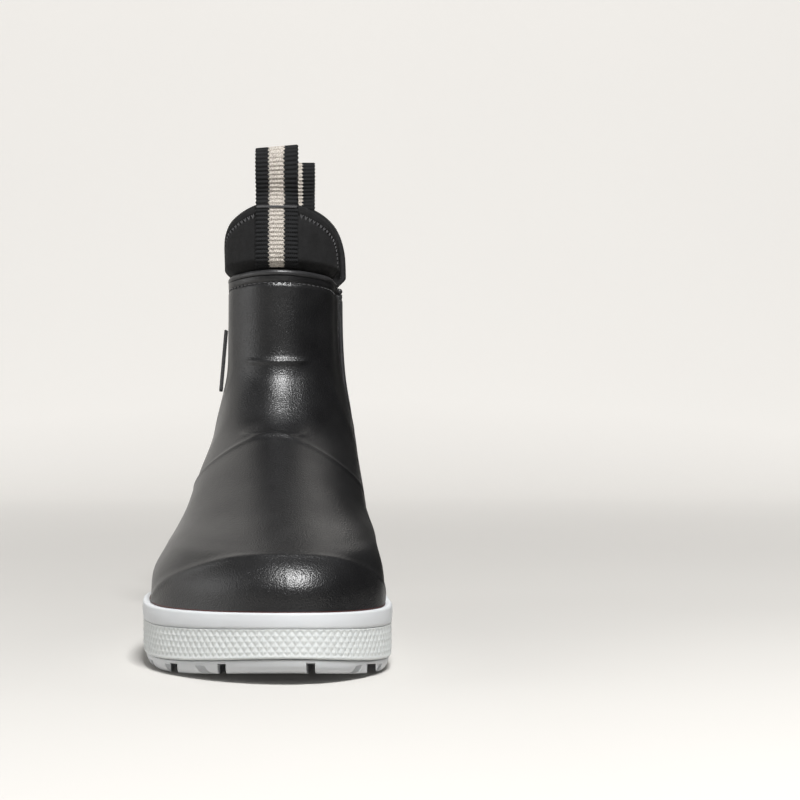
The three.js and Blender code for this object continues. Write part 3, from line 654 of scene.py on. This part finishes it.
def tread():
    """The lugs: a plate with a rounded lower edge, cut by grooves across and along."""
    profile = [(6.5, 0), (4.2, 0.1), (3.0, 0.5), (2.2, 1.2), (1.6, 2.4), (1.2, 3.6), (1.0, LUG_DEPTH),
               (1.0, LUG_DEPTH + 0.35), (1.2, TREAD_TOP), (4.3, TREAD_TOP), (4.3, TREAD_TOP + 3)]
    rings = [outline(TURN, inset, z) for inset, z in profile]
    made = stack("tread", rings, strips(AROUND), pale_rubber)
    half = GROOVE_WIDTH / 2
    past = 5
    cutters = []
    for i in range(int((SOLE_LENGTH - 2 * GROOVE_PITCH) / GROOVE_PITCH) + 1):
        y = -HALF_LENGTH + GROOVE_PITCH * (i + 1.1)
        cutters.append(block((-90, y - half, -past), (90, y + half, sprung(y, CROSS_DEPTH))))
    for x in LONG_GROOVES:
        for start, end in ((-HALF_LENGTH - past, -HALF_LENGTH * 0.15),
                           (HALF_LENGTH * 0.4, HALF_LENGTH + past)):
            cutters.append(block((x - half, start, -past), (x + half, end, GROOVE_DEPTH), 24))
    cut(made, cutters)
    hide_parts("outsole")


def even_turns(count):
    """Angles that divide the sole's outline into even steps, and the length all round it."""
    fine = turns(4096)
    p = outline(fine, 0, 10)
    run = run_along(np.concatenate([p, p[:1]]))
    return np.interp(np.arange(count) * run[-1] / count, run, np.append(fine, 2 * math.pi)), run[-1]


def textured_band():
    """Raised diamonds over the band, fading out toward the waist, with a ledge at its foot."""
    turn, whole = even_turns(2400)
    across = np.arange(len(turn)) / len(turn) * round(whole / DIAMOND)
    z = np.linspace(BAND_LOW + 0.7, TEXTURED_TOP - 0.25, 54)
    column, height = np.meshgrid(across, z, indexing="ij")
    row = (height - z[0]) / DIAMOND_HEIGHT
    u = np.abs(np.mod(column + row, 1) - 0.5) * 2
    v = np.abs(np.mod(column - row, 1) - 0.5) * 2
    pad = np.minimum(1, (1 - np.maximum(u, v)) / 0.8)
    y = outline(turn, 0, 10)[:, 1]
    strength = np.clip(np.maximum(smooth(-20, -75, y), smooth(45, 95, y)), 0.25, 1)[:, None]
    margin = smooth(0, 1.2, height - z[0]) * smooth(0, 1.0, z[-1] - height)
    relief = 0.4 * (pad - 0.75) * margin * strength
    profile = [(4.0, BAND_LOW), (0.9, BAND_LOW), (0.15, BAND_LOW + 0.25), *zip(-relief.T, z),
               (0.3, TEXTURED_TOP), (4.0, TEXTURED_TOP)]
    loops = [outline(turn, inset, level) for inset, level in profile]
    made = closed_band("diamond_band", np.stack(loops, 1), textured_rubber)
    made.data.set_sharp_from_angle(angle=math.radians(60))
    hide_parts("textured_foxing")


def smooth_band():
    """The plain band over the textured one, with a rolled top edge, and the line of cement above it."""
    low, proud = TEXTURED_TOP + 0.1, 0.3
    profile = [(4.0, low), (0.35, low), (0.1, low + 0.06), (-0.12, low + 0.3), (-proud, low + 1.2)]
    profile += [(-proud - 0.12 * math.sin(math.pi * t), lerp(low + 1.2, SOLE_STACK - 1.2, t))
                for t in np.linspace(0.1, 1, 9)]
    centre = (0.8, SOLE_STACK - 1.1)
    for a in np.linspace(0, math.pi / 2, 7)[1:]:
        profile.append((centre[0] - 1.1 * math.cos(a), centre[1] + 1.1 * math.sin(a)))
    profile += [(1.6, SOLE_STACK - 0.05), (2.6, SOLE_STACK - 0.35), (4.0, SOLE_STACK - 0.35)]
    loops = np.stack([outline(TURN, inset, z) for inset, z in profile], 1)
    made = closed_band("smooth_band", loops, pale_rubber)
    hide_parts("smooth_foxing")
    line = outline(TURN, UPPER_INSET - 0.25, SOLE_STACK + 0.05)
    line = np.concatenate([line, line[:2]])
    made = tubes("cement_line", [line], 0.32, red_line, sides=6)


# ---- Upper ----
def gaussian(x, width):
    return np.exp(-(x / width) ** 2)


def upper_relief(s, angle, p):
    """Height in millimetres of the moulded lines over the rubber's face."""
    degrees = np.degrees(np.where(angle > math.pi, angle - 2 * math.pi, angle))
    stretch = np.linalg.norm(face_point(s + 0.004, angle) - face_point(s - 0.004, angle), axis=-1) / 0.008
    away = np.abs(degrees)
    cap = (s - (CAP_LEVEL - 0.075 * (away / 30) ** 2)) * stretch
    relief = (0.6 * gaussian(cap, 2.2) + 0.35 * smooth(1.5, -1.5, cap)) * smooth(68, 48, away)
    arc = (s - (ARC_LEVEL - 0.14 * (away / 70) ** 1.5)) * stretch
    swell = smooth(1.2, -1.2, arc) * smooth(40, 8, -arc)
    relief = relief + (0.5 * gaussian(arc, 2.1) + 0.35 * swell) * smooth(118, 85, away)
    x = p[..., 0] - centre_x(p[..., 1])
    front = smooth(40, 25, away)
    for level in RIDGE_HEIGHTS:
        relief = relief + 0.7 * gaussian(p[..., 2] - level, 1.3) * smooth(17, 11, np.abs(x)) * front
    hollow = smooth(94, 100, p[..., 2]) * smooth(128, 120, p[..., 2])
    relief = relief - 0.9 * hollow * smooth(20, 8, np.abs(x)) * front
    for side, strength in ((1, 0.6), (-1, 0.35)):
        line = 23.6 + (120 - p[..., 2]) * 0.37
        span = smooth(86, 98, p[..., 2]) * smooth(126, 112, p[..., 2])
        relief = relief + strength * gaussian(side * x - line, 1.4) * span * smooth(88, 66, away)
    return relief + 0.07 * gaussian(x, 0.5) * (away < 20) * (s < CAP_LEVEL)


def upper():
    """The moulded rubber: cap line, instep arc and ankle ridges, cut open at the gores."""
    columns, rows = 760, 300
    angle = turns(columns)

    def under_sole_top(s):
        p = face_point(s, angle)
        return p[:, 2] < sprung(p[:, 1], SOLE_STACK - 0.1)

    foot = bisect(under_sole_top, np.full(columns, -0.1), np.full(columns, 0.2))
    s = lerp(foot, 1, np.linspace(0, 1, rows)[:, None])
    p = face_point(s, angle)
    relief = upper_relief(s, angle, p)
    below_rim = rim_top(angle) - p[..., 2]
    relief = relief - 0.75 * gaussian(below_rim - 3.2, 0.65) * (s > 0.8)
    normal = face_normal(s, angle)
    outer = p + normal * relief[..., None]
    inner = p - normal * RUBBER_WALL
    loops = np.concatenate([outer, inner[::-1]], 0).transpose(1, 0, 2)
    made = closed_band("upper", loops, rubber)
    for side in (-1, 1):
        cut(made, [gore_cutter(side)])
    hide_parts("rubber_upper")


def gore_edge(margin, top):
    """The side opening's outline as y, z points, from its rear top round its foot to its front top."""
    half = GORE_HALF + margin
    foot = half * 0.82
    spring = GORE_BOTTOM + GORE_HALF
    a = np.linspace(0, math.pi, 60)
    arc = np.stack([foot * np.cos(a), spring - half * np.sin(a)], -1)
    rise = np.linspace(1, 0, 24)[:, None]
    rear = np.array([[half, top]]) * rise + np.array([[foot, spring]]) * (1 - rise)
    front = (rear * [-1, 1])[::-1]
    path = np.concatenate([rear[:-1], arc, front[1:]])
    path[:, 0] += GORE_CENTRE
    return path


def gore_cutter(side):
    """A block with the side opening's outline, to cut it with."""
    edge = gore_edge(0, RIM_HEIGHT + 30)
    rings = [[(x * side, y, z) for y, z in edge] for x in (2, 90)]
    return stack("cutter", rings, fan(len(edge)), rubber, body=None)


def surface_at(side, y, z, depth):
    """Points at a depth under the side of the upper, at the given y and z."""
    s = np.full(y.shape, 0.8)
    for _ in range(12):
        a = angle_at_y(s, y)
        high = face_point(s, a)[..., 2]
        more = face_point(s + 0.01, a)[..., 2]
        s = np.clip(s + (z - high) / np.maximum(more - high, 0.2) * 0.01 * 0.9, 0.3, 1.0)
    a = angle_at_y(s, y)
    if side > 0:
        a = 2 * math.pi - a
    p = skin(depth, s, a)
    p[..., 1], p[..., 2] = y, np.where(s >= 1.0, z, p[..., 2])
    return p


def gore_lip(name, side):
    """A thin rolled lip along the edge of the side opening."""
    edge = gore_edge(-0.3, RIM_HEIGHT - RIM_DIP - 1)
    path = surface_at(side, edge[:, 0], edge[:, 1], 1.1)
    made = tubes(name + "_lip", [path], 1.25, bead, sides=12)


def gore(name, side):
    """The elastic panel behind the side opening, with fine upright ribs."""
    rows, columns = 90, 340
    s = np.linspace(0.56, 1.0, rows)[:, None]
    y = GORE_CENTRE + (GORE_HALF + 5) * np.linspace(-1, 1, columns)[None, :]
    inside = GORE_HALF - 3
    s, y = np.broadcast_arrays(s, y)
    a = angle_at_y(s, y)
    a = 2 * math.pi - a if side > 0 else a
    ribs = 0.16 * np.cos(2 * math.pi * (y - GORE_CENTRE) / 1.6) * (np.abs(y - GORE_CENTRE) < inside)
    outer = skin(GORE_DEPTH + 0.25 - ribs, s, a)
    inner = skin(GORE_DEPTH + GORE_WALL, s, a)
    made = slab(name + "_panel", outer, inner, gore_knit)
    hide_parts(name)


# ---- Inside ----
def lining():
    """The sock: a thin knitted shell inside the upper, closed at the floor."""
    columns, rows = 300, 130
    angle = turns(columns)
    s = np.linspace(0.0, 1.0, rows)[:, None]
    top = COLLAR_LOW - 0.3
    shells = []
    for depth, floor in ((LINING_DEPTH, UPPER_BASE + 0.2), (FOOT_DEPTH, UPPER_BASE + 1.3)):
        p = skin(depth, s, angle)
        p[..., 2] = np.clip(p[..., 2], sprung(p[..., 1], floor), top)
        shells.append(p)
    loops = np.concatenate([shells[0], shells[1][::-1]], 0)
    made = stack("lining_sock", loops, strips(columns), lining_knit)
    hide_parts("bootie_lining")


def cushion(name, node, outline_ring, low, high, crown):
    """A crowned pad inside a ring; low and high give the heights of its base and top for y."""
    centre = outline_ring.mean(0)
    rings = []
    for share in (0.02, 0.5, 1.0):
        ring = centre + (outline_ring - centre) * share
        ring[:, 2] = low(ring[:, 1])
        rings.append(ring)
    for share in np.linspace(1, 0.02, 26):
        ring = centre + (outline_ring - centre) * share
        edge = min(1.0, (1 - share) / 0.08)
        round_off = 1.2 * (1 - math.sqrt(1 - (1 - edge) ** 2))
        ring[:, 2] = high(ring[:, 1]) - round_off + crown * (1 - share ** 2)
        rings.append(ring)
    made = stack(name, rings, fan(len(outline_ring)), foam_cloth)
    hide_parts(node)


def footbed():
    """The removable foam insole, which follows the toe spring."""
    angle = turns(200)
    ring = skin(FOOT_DEPTH + 0.5, 0.045, angle)
    base = UPPER_BASE + 1.6
    cushion("footbed_pad", "footbed", ring, lambda y: sprung(y, base), lambda y: sprung(y, base + 4.6), 0.0)


def heel_pad():
    """The oval pad under the heel, in the box of its CAD node."""
    low, high = (np.array(c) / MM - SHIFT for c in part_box("heel_pad"))
    centre, half = (low + high) / 2, (high - low) / 2
    a = turns(96)
    ring = np.stack([centre[0] + half[0] * np.sin(a), centre[1] + half[1] * np.cos(a), 0 * a], -1)
    cushion("heel_cushion", "heel_pad", ring, lambda y: low[2], lambda y: high[2] - 0.5, 0.5)


# ---- Rim ----
def rim_path(middle, depth, rise, count, margin):
    """A line along the rim from gore to gore, which stops at a margin from each."""
    reach = GORE_HALF + margin
    front = angle_at_y(1, GORE_CENTRE - reach)
    rear = math.pi - angle_at_y(1, GORE_CENTRE + reach)
    edge = float(front if middle == 0 else rear)
    angle = middle + edge * np.linspace(1, -1, count)
    p = skin(depth, 1, angle)
    p[:, 2] = rim_top(angle) + rise
    return p


def rim(end):
    """The rolled bead on the rim and the row of stitches in the groove under it."""
    middle = MIDDLES[end]
    path = rim_path(middle, RUBBER_WALL / 2, RIM_RADIUS, 240, 1.0)
    made = tubes(end + "_rolled_rim", [path], RIM_RADIUS, bead, sides=16)
    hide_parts(end + "_rim_bead")
    groove = rim_path(middle, 0.35, -3.2, 400, 2.5)
    made = tubes(end + "_rim_stitches", stitches(groove, 1.7, 1.0), 0.3, black_thread, sides=7)
    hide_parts(end + "_rim_stitching")


# ---- Collars ----
def collar_top(end, u):
    """The height of the collar's domed edge; u is -1 and 1 at its corners."""
    corner = float(rim_top(MIDDLES[end] + COLLAR_SPREAD)) + 2.5
    fall = np.minimum(1, np.abs(u)) ** 1.7
    return corner + (DOMES[end] - corner) * np.sqrt(1 - fall)


def collar_point(angle, z, depth):
    """A point at a depth under the collar's face, which swells out over the rim, then leans in."""
    angle, z, depth = np.broadcast_arrays(*[np.asarray(v, float) for v in (angle, z, depth)])
    above = z - rim_top(angle)
    bulge = COLLAR_SWELL * smooth(2.0, 8.5, above) - COLLAR_LEAN * smooth(17, 40, above)
    p = skin(RUBBER_WALL + 0.5 + depth - bulge, 1, angle)
    p[..., 2] = z
    return p


def collar(end):
    """A soft panel with a turned edge, pressed in along its hem's stitching."""
    middle = MIDDLES[end]
    columns, rows = 240, 120
    u = np.sin(math.pi / 2 * np.linspace(1, -1, columns))
    share = np.sin(math.pi / 2 * np.linspace(0, 1, rows))
    top = collar_top(end, u)
    z = COLLAR_LOW + (top - COLLAR_LOW)[None, :] * share[:, None]
    angle = middle + u * COLLAR_SPREAD
    face = collar_point(angle, z, 0.0)
    border = np.concatenate([face[-1], face[:, 0], face[:, -1]])
    flat = face.reshape(-1, 3)
    away = np.full(len(flat), 1e9)
    for point in border[::2]:
        away = np.minimum(away, np.linalg.norm(flat - point, axis=1))
    away = away.reshape(z.shape)
    edge = np.clip(away / 1.3, 0, 1)
    round_off = 1 - np.sqrt(1 - (1 - edge) ** 2)
    puff = 0.35 * smooth(0.5, 2.2, away) * smooth(4.6, 3.2, away)
    pressed = 0.45 * gaussian(away - HEM, 0.6)
    middle_depth = COLLAR_WALL / 2
    outer = collar_point(angle, z, middle_depth * round_off + pressed - puff)
    inner = collar_point(angle, z, COLLAR_WALL - middle_depth * round_off - 0.6 * pressed + 0.5 * puff)
    made = slab(end + "_collar_panel", outer, inner, neoprene)
    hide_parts(end + "_collar")


def hem_zigzag(end, side_name, side):
    """The zigzag thread a hem's width in from the collar's edge."""
    middle = MIDDLES[end]
    x = WEBBING_WIDTH / 2 + 1.0
    start = abs(float(strip_angle(end, x) - middle)) / COLLAR_SPREAD
    reach = 0.9
    corner = float(collar_top(end, 1)) + 0.5
    dome = DOMES[end] - HEM
    u = lerp(start, reach, np.linspace(0, 1, 400))
    z = corner + (dome - corner) * np.sqrt(1 - (u / reach) ** 1.9 * 0.95)
    run = run_along(collar_point(middle + side * u * COLLAR_SPREAD, z, 0.0))
    where = np.arange(0, run[-1], ZIGZAG_PITCH / 8)
    swing = ZIGZAG_SWING * (2 * np.abs(np.mod(where / ZIGZAG_PITCH, 1) * 2 - 1) - 1)
    u_at, z_at = np.interp(where, run, u), np.interp(where, run, z)
    slope = np.arctan2(np.gradient(z_at), np.gradient(u_at) * COLLAR_SPREAD * COLLAR_RADIUS)
    angle = middle + side * (u_at * COLLAR_SPREAD - np.sin(slope) * swing / COLLAR_RADIUS)
    line = collar_point(angle, z_at + np.cos(slope) * swing, 0.12)
    made = tubes(f"{end}_{side_name}_zigzag", [line], 0.27, grey_thread, sides=6)
    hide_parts(f"{end}_{side_name}_hem_stitching")


# ---- Pull tabs ----
def strip_angle(end, x):
    """The angle at which the collar is x from its middle, positive toward the medial side."""
    middle = MIDDLES[end]
    origin = collar_point(middle, 190.0, 0.0)[..., 0]

    def short(a):
        return np.abs(collar_point(middle + a, 190.0, 0.0)[..., 0] - origin) < np.abs(x)

    low = np.zeros(np.shape(x))
    half = bisect(short, low, low + COLLAR_SPREAD)
    return middle - np.sign(x) * math.cos(middle) * half


def loop_line(rise):
    """Half of the free loop in its own plane: distance out from the middle, height over the pivot."""
    return [(1.75, -1.2), (1.3, 0.3), (1.35, 2.5), (2.4, 5.5), (3.4, 9), (4.0, rise - 10),
            (4.1, rise - 7.5), (3.6, rise - 4.4), (2.5, rise - 2.0), (1.2, rise - 0.8), (0, rise - 0.6)]


def ribbon_path(end):
    """The webbing's mid line from its outer foot to its tail: y out from the collar's middle, and z."""
    middle = MIDDLES[end]
    pivot = PIVOTS[end + "_pull_hinge"][2]
    low = float(rim_top(middle)) + 4.2
    seat = collar_point(middle, DOMES[end], COLLAR_WALL / 2)
    out = -1.0 if end == "front" else 1.0
    outer, inner = [], []
    for z in np.linspace(low, DOMES[end] - 1.2, 12):
        for depth, points in ((-WEBBING_GAP - 0.4, outer), (COLLAR_WALL + WEBBING_GAP + 0.4, inner)):
            points.append((out * (collar_point(middle, z, depth)[1] - seat[1]), z))
    tail_foot = DOMES[end] - 19.2
    inner = [q for q in inner if q[1] >= tail_foot]
    loop = loop_line(LOOP_RISE[end])
    up = [(d, pivot + h) for d, h in loop]
    down = [(-d, pivot + h) for d, h in loop[-2::-1]]
    rough = np.array(outer + up + down + inner[::-1])
    where = np.arange(0, run_along(rough)[-1], 0.22)
    path = resampled(rough, where)
    kernel = np.exp(-np.linspace(-2, 2, 17) ** 2)
    kernel /= kernel.sum()
    padded = np.concatenate([np.repeat(path[:1], 8, 0), path, np.repeat(path[-1:], 8, 0)])
    eased = np.stack([np.convolve(padded[:, k], kernel, "valid") for k in range(2)], -1)
    return eased, where, out, seat


def ribbon(end):
    """One length of ribbed webbing: sewn on outside, up into the loop and down inside as a short tail."""
    path, run, out, seat = ribbon_path(end)
    columns = 44
    t = np.linspace(-1, 1, columns)
    x = t * WEBBING_WIDTH / 2
    angle = strip_angle(end, x)
    z = np.broadcast_to(path[:, 1:2], (len(path), columns))
    top = DOMES[end]
    sag = collar_point(angle[None, :], np.minimum(z, top), 0.0)
    centre = collar_point(MIDDLES[end], np.minimum(path[:, 1:2], top), 0.0)[..., 1]
    follow = smooth(top + 12, top - 1, z)
    z = z + TWIST[end] * x * smooth(top + 4, top + 22, z)
    y = seat[1] + out * path[:, 0:1] + (sag[..., 1] - centre) * follow
    middle_x = PIVOTS[end + "_pull_hinge"][0] - SHIFT[0]
    scallop = 1 + 0.02 * np.cos(2 * math.pi * run / RIB_PITCH)[:, None]
    mid = np.stack([middle_x + x[None, :] * scallop, y, z], -1)
    normal = np.cross(np.gradient(mid, axis=0), np.gradient(mid, axis=1))
    normal /= np.linalg.norm(normal, axis=-1, keepdims=True)
    distance = (1 - np.abs(t)) * WEBBING_WIDTH / 2
    half = WEBBING_THICKNESS / 2 * np.sqrt(1 - (1 - np.clip(distance / 0.5, 0.05, 1)) ** 2)
    rib = 0.22 * (np.cos(2 * math.pi * run / RIB_PITCH) - 1)[:, None]
    bulk = np.maximum(half[None, :] + rib * (half[None, :] > 0.3), 0.08)[..., None]
    uv = np.stack(np.broadcast_arrays(x[None, :], run[:, None]), -1)
    made = slab(end + "_webbing", mid + normal * bulk, mid - normal * bulk, webbing, uv=uv, body=None)
    pivot = PIVOTS[end + "_pull_hinge"] * MM
    start, finish = pivot.copy(), pivot.copy()
    start[2] -= 3.5 * MM
    finish[2] += 4.0 * MM
    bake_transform(made)
    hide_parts(end + "_pull_strip", end + "_inner_tail", end + "_pull_loop")


def bar_tack(end):
    """Dense thread laid across the webbing to hold the loop's foot."""
    z = DOMES[end] - 3.1
    paths = []
    for k, t in enumerate(np.linspace(-1, 1, 52)):
        angle = strip_angle(end, t * (WEBBING_WIDTH / 2 - 1.0))
        sway = 0.12 if k % 2 else -0.12
        heights = np.linspace(z - 0.55, z + 0.55, 7) + sway
        bow = 0.1 * np.sin(np.linspace(0, math.pi, 7))
        paths.append(collar_point(angle, heights, -WEBBING_GAP - 1.0 - bow))
    made = tubes(end + "_tack_thread", paths, 0.26, black_thread, sides=6)
    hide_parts(end + "_bar_tack")


# ---- Side label ----
def side_label():
    """A folded woven tag whose free end stands off the shaft; its fold is rounded."""
    low, high = (np.array(c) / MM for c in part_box("side_label"))
    pivot = PIVOTS["side_label_hinge"]
    axis = next(np.array(j["axis"]) for j in frame["joints"] if j["name"] == "side_label_hinge")
    length = high[1] - low[1]
    height = (high[2] - low[2]) / axis[2] * 0.995
    across = np.linspace(0, 1, 26)
    up = np.linspace(0, 1, 70)
    grid_y, grid_z = np.meshgrid(across * length, up * height, indexing="xy")
    edge = np.minimum.reduce([grid_z, height - grid_z, length - grid_y])
    half = LABEL_HALF * np.sqrt(1 - (1 - np.clip(edge / 0.45, 0.04, 1)) ** 2)
    rib = 0.05 * np.cos(2 * math.pi * grid_z / 0.8)
    out = np.array([-axis[2], 0, axis[0]])
    middle = pivot + out * LABEL_HALF + axis * grid_z[..., None]
    middle[..., 1] += grid_y
    bulk = np.maximum(half + rib - 0.05, 0.06)[..., None]
    middle -= SHIFT
    made = slab("side_tag", middle + out * bulk, middle - out * bulk, label_weave, body="label")
    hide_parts("side_label")
    seam = pivot - out * 0.35 + axis * np.linspace(0.4, height - 0.4, 30)[:, None] - SHIFT
    made = tubes("label_seam", [seam], 0.6, label_weave, sides=10)


# ---- Assembly ----
tread()
textured_band()
smooth_band()
upper()
for gore_name, gore_side in (("lateral_gore", -1), ("medial_gore", 1)):
    gore(gore_name, gore_side)
    gore_lip(gore_name, gore_side)
lining()
footbed()
heel_pad()
for boot_end, turn_side in (("front", 1), ("rear", -1)):
    rim(boot_end)
    collar(boot_end)
    hem_zigzag(boot_end, "lateral", turn_side)
    hem_zigzag(boot_end, "medial", -turn_side)
    ribbon(boot_end)
    bar_tack(boot_end)
side_label()

hidden = {"midsole": core_foam, "shank": spring_steel, "insole_board": fibre_board,
          "toe_puff": fibre_board, "heel_counter": fibre_board}
for node_name, finish in hidden.items():
    for material_slot in frame["nodes"][node_name].material_slots:
        material_slot.material = finish


# ---- Stage ----
def backdrop():
    """A floor that curves up into a wall far behind the boot, brighter the further it is from it."""
    bend = [(WALL_FOOT * (1 + math.sin(a)), WALL_FOOT * (1 - math.cos(a)))
            for a in np.linspace(0.05, math.pi / 2, 24)]
    profile = [(-FLOOR_REACH, 0.0), (WALL_FOOT, 0.0), *bend, (2 * WALL_FOOT, WALL_TOP)]
    grid = np.array([[(x, y, z) for y, z in profile] for x in (-FLOOR_REACH, FLOOR_REACH)]) / MM
    grid[..., 2] -= 0.15
    made = Finish("pale paper", (0.5, 0.49, 0.47), 0.95, Specular_IOR_Level=0.1)
    made.shader.inputs["Emission Color"].default_value = (0.86, 0.84, 0.808, 1)
    made.vary_colour(made.noise(300), (0.50, 0.488, 0.468), (0.51, 0.498, 0.477))
    place = made.node("ShaderNodeSeparateXYZ")
    made.link(made.place, place.inputs[0])
    behind = made.math("POWER", made.math("MAXIMUM", place.outputs[1], 0.0), 2.0)
    aside = made.math("POWER", made.math("ABSOLUTE", place.outputs[0]), 2.0)
    away = made.math("SQRT", made.math("ADD", behind, aside))
    glow = made.spread(away, FLOOR_GLOW, WALL_GLOW, 0.1, 1.7)
    made.link(glow, made.shader.inputs["Emission Strength"])
    faces = grid_faces(2, len(profile), flip=True)
    mesh_object("backdrop", grid, faces, made.material, body=None)


def flag():
    """A black card beside the boot that only its reflections show; it keeps the medial side dark."""
    grid = np.array([[(x, y, z) for z in (0.001, 0.3)] for x, y in ((0.15, -0.22), (0.15, 0.9))]) / MM
    card = plain_finish("black card", (0.004, 0.004, 0.004), 0.95, 2.0)
    made = mesh_object("flag", grid, grid_faces(2, 2), card, body=None)
    made.visible_camera = False
    made.visible_shadow = False
    made.visible_diffuse = False


def lamp(name, place, target, size, power):
    """A rectangular softbox aimed at a point."""
    data = bpy.data.lights.new(name, "AREA")
    data.shape = "RECTANGLE"
    data.size, data.size_y = size
    data.energy = power
    made = bpy.data.objects.new(name, data)
    made.location = place
    direction = Vector(target) - Vector(place)
    made.rotation_euler = direction.to_track_quat("-Z", "Y").to_euler()
    bpy.context.scene.collection.objects.link(made)


def studio():
    """A dim world, which the camera sees as a pale ground past the backdrop."""
    world = bpy.data.worlds.new("studio")
    world.use_nodes = True
    nodes, links = world.node_tree.nodes, world.node_tree.links
    light = next(n for n in nodes if n.type == "BACKGROUND")
    light.inputs["Color"].default_value = (1.0, 0.985, 0.965, 1)
    light.inputs["Strength"].default_value = WORLD_STRENGTH
    ground = nodes.new("ShaderNodeBackground")
    ground.inputs["Color"].default_value = (0.70, 0.684, 0.66, 1)
    rays = nodes.new("ShaderNodeLightPath")
    choice = nodes.new("ShaderNodeMixShader")
    output = next(n for n in nodes if n.type == "OUTPUT_WORLD")
    links.new(rays.outputs["Is Camera Ray"], choice.inputs[0])
    links.new(light.outputs[0], choice.inputs[1])
    links.new(ground.outputs[0], choice.inputs[2])
    links.new(choice.outputs[0], output.inputs["Surface"])
    bpy.context.scene.world = world


def camera():
    """A level camera in front of the toe, at the photograph's viewing angle."""
    data = bpy.data.cameras.new("camera")
    data.lens = LENS
    data.sensor_width = 36
    made = bpy.data.objects.new("camera", data)
    made.location = CAMERA_PLACE
    made.rotation_euler = (math.pi / 2, 0, 0)
    bpy.context.scene.collection.objects.link(made)
    bpy.context.scene.camera = made


backdrop()
flag()
for lamp_name, settings in LAMPS.items():
    lamp(lamp_name, *settings)
studio()
camera()
bpy.context.scene.view_settings.view_transform = "Standard"
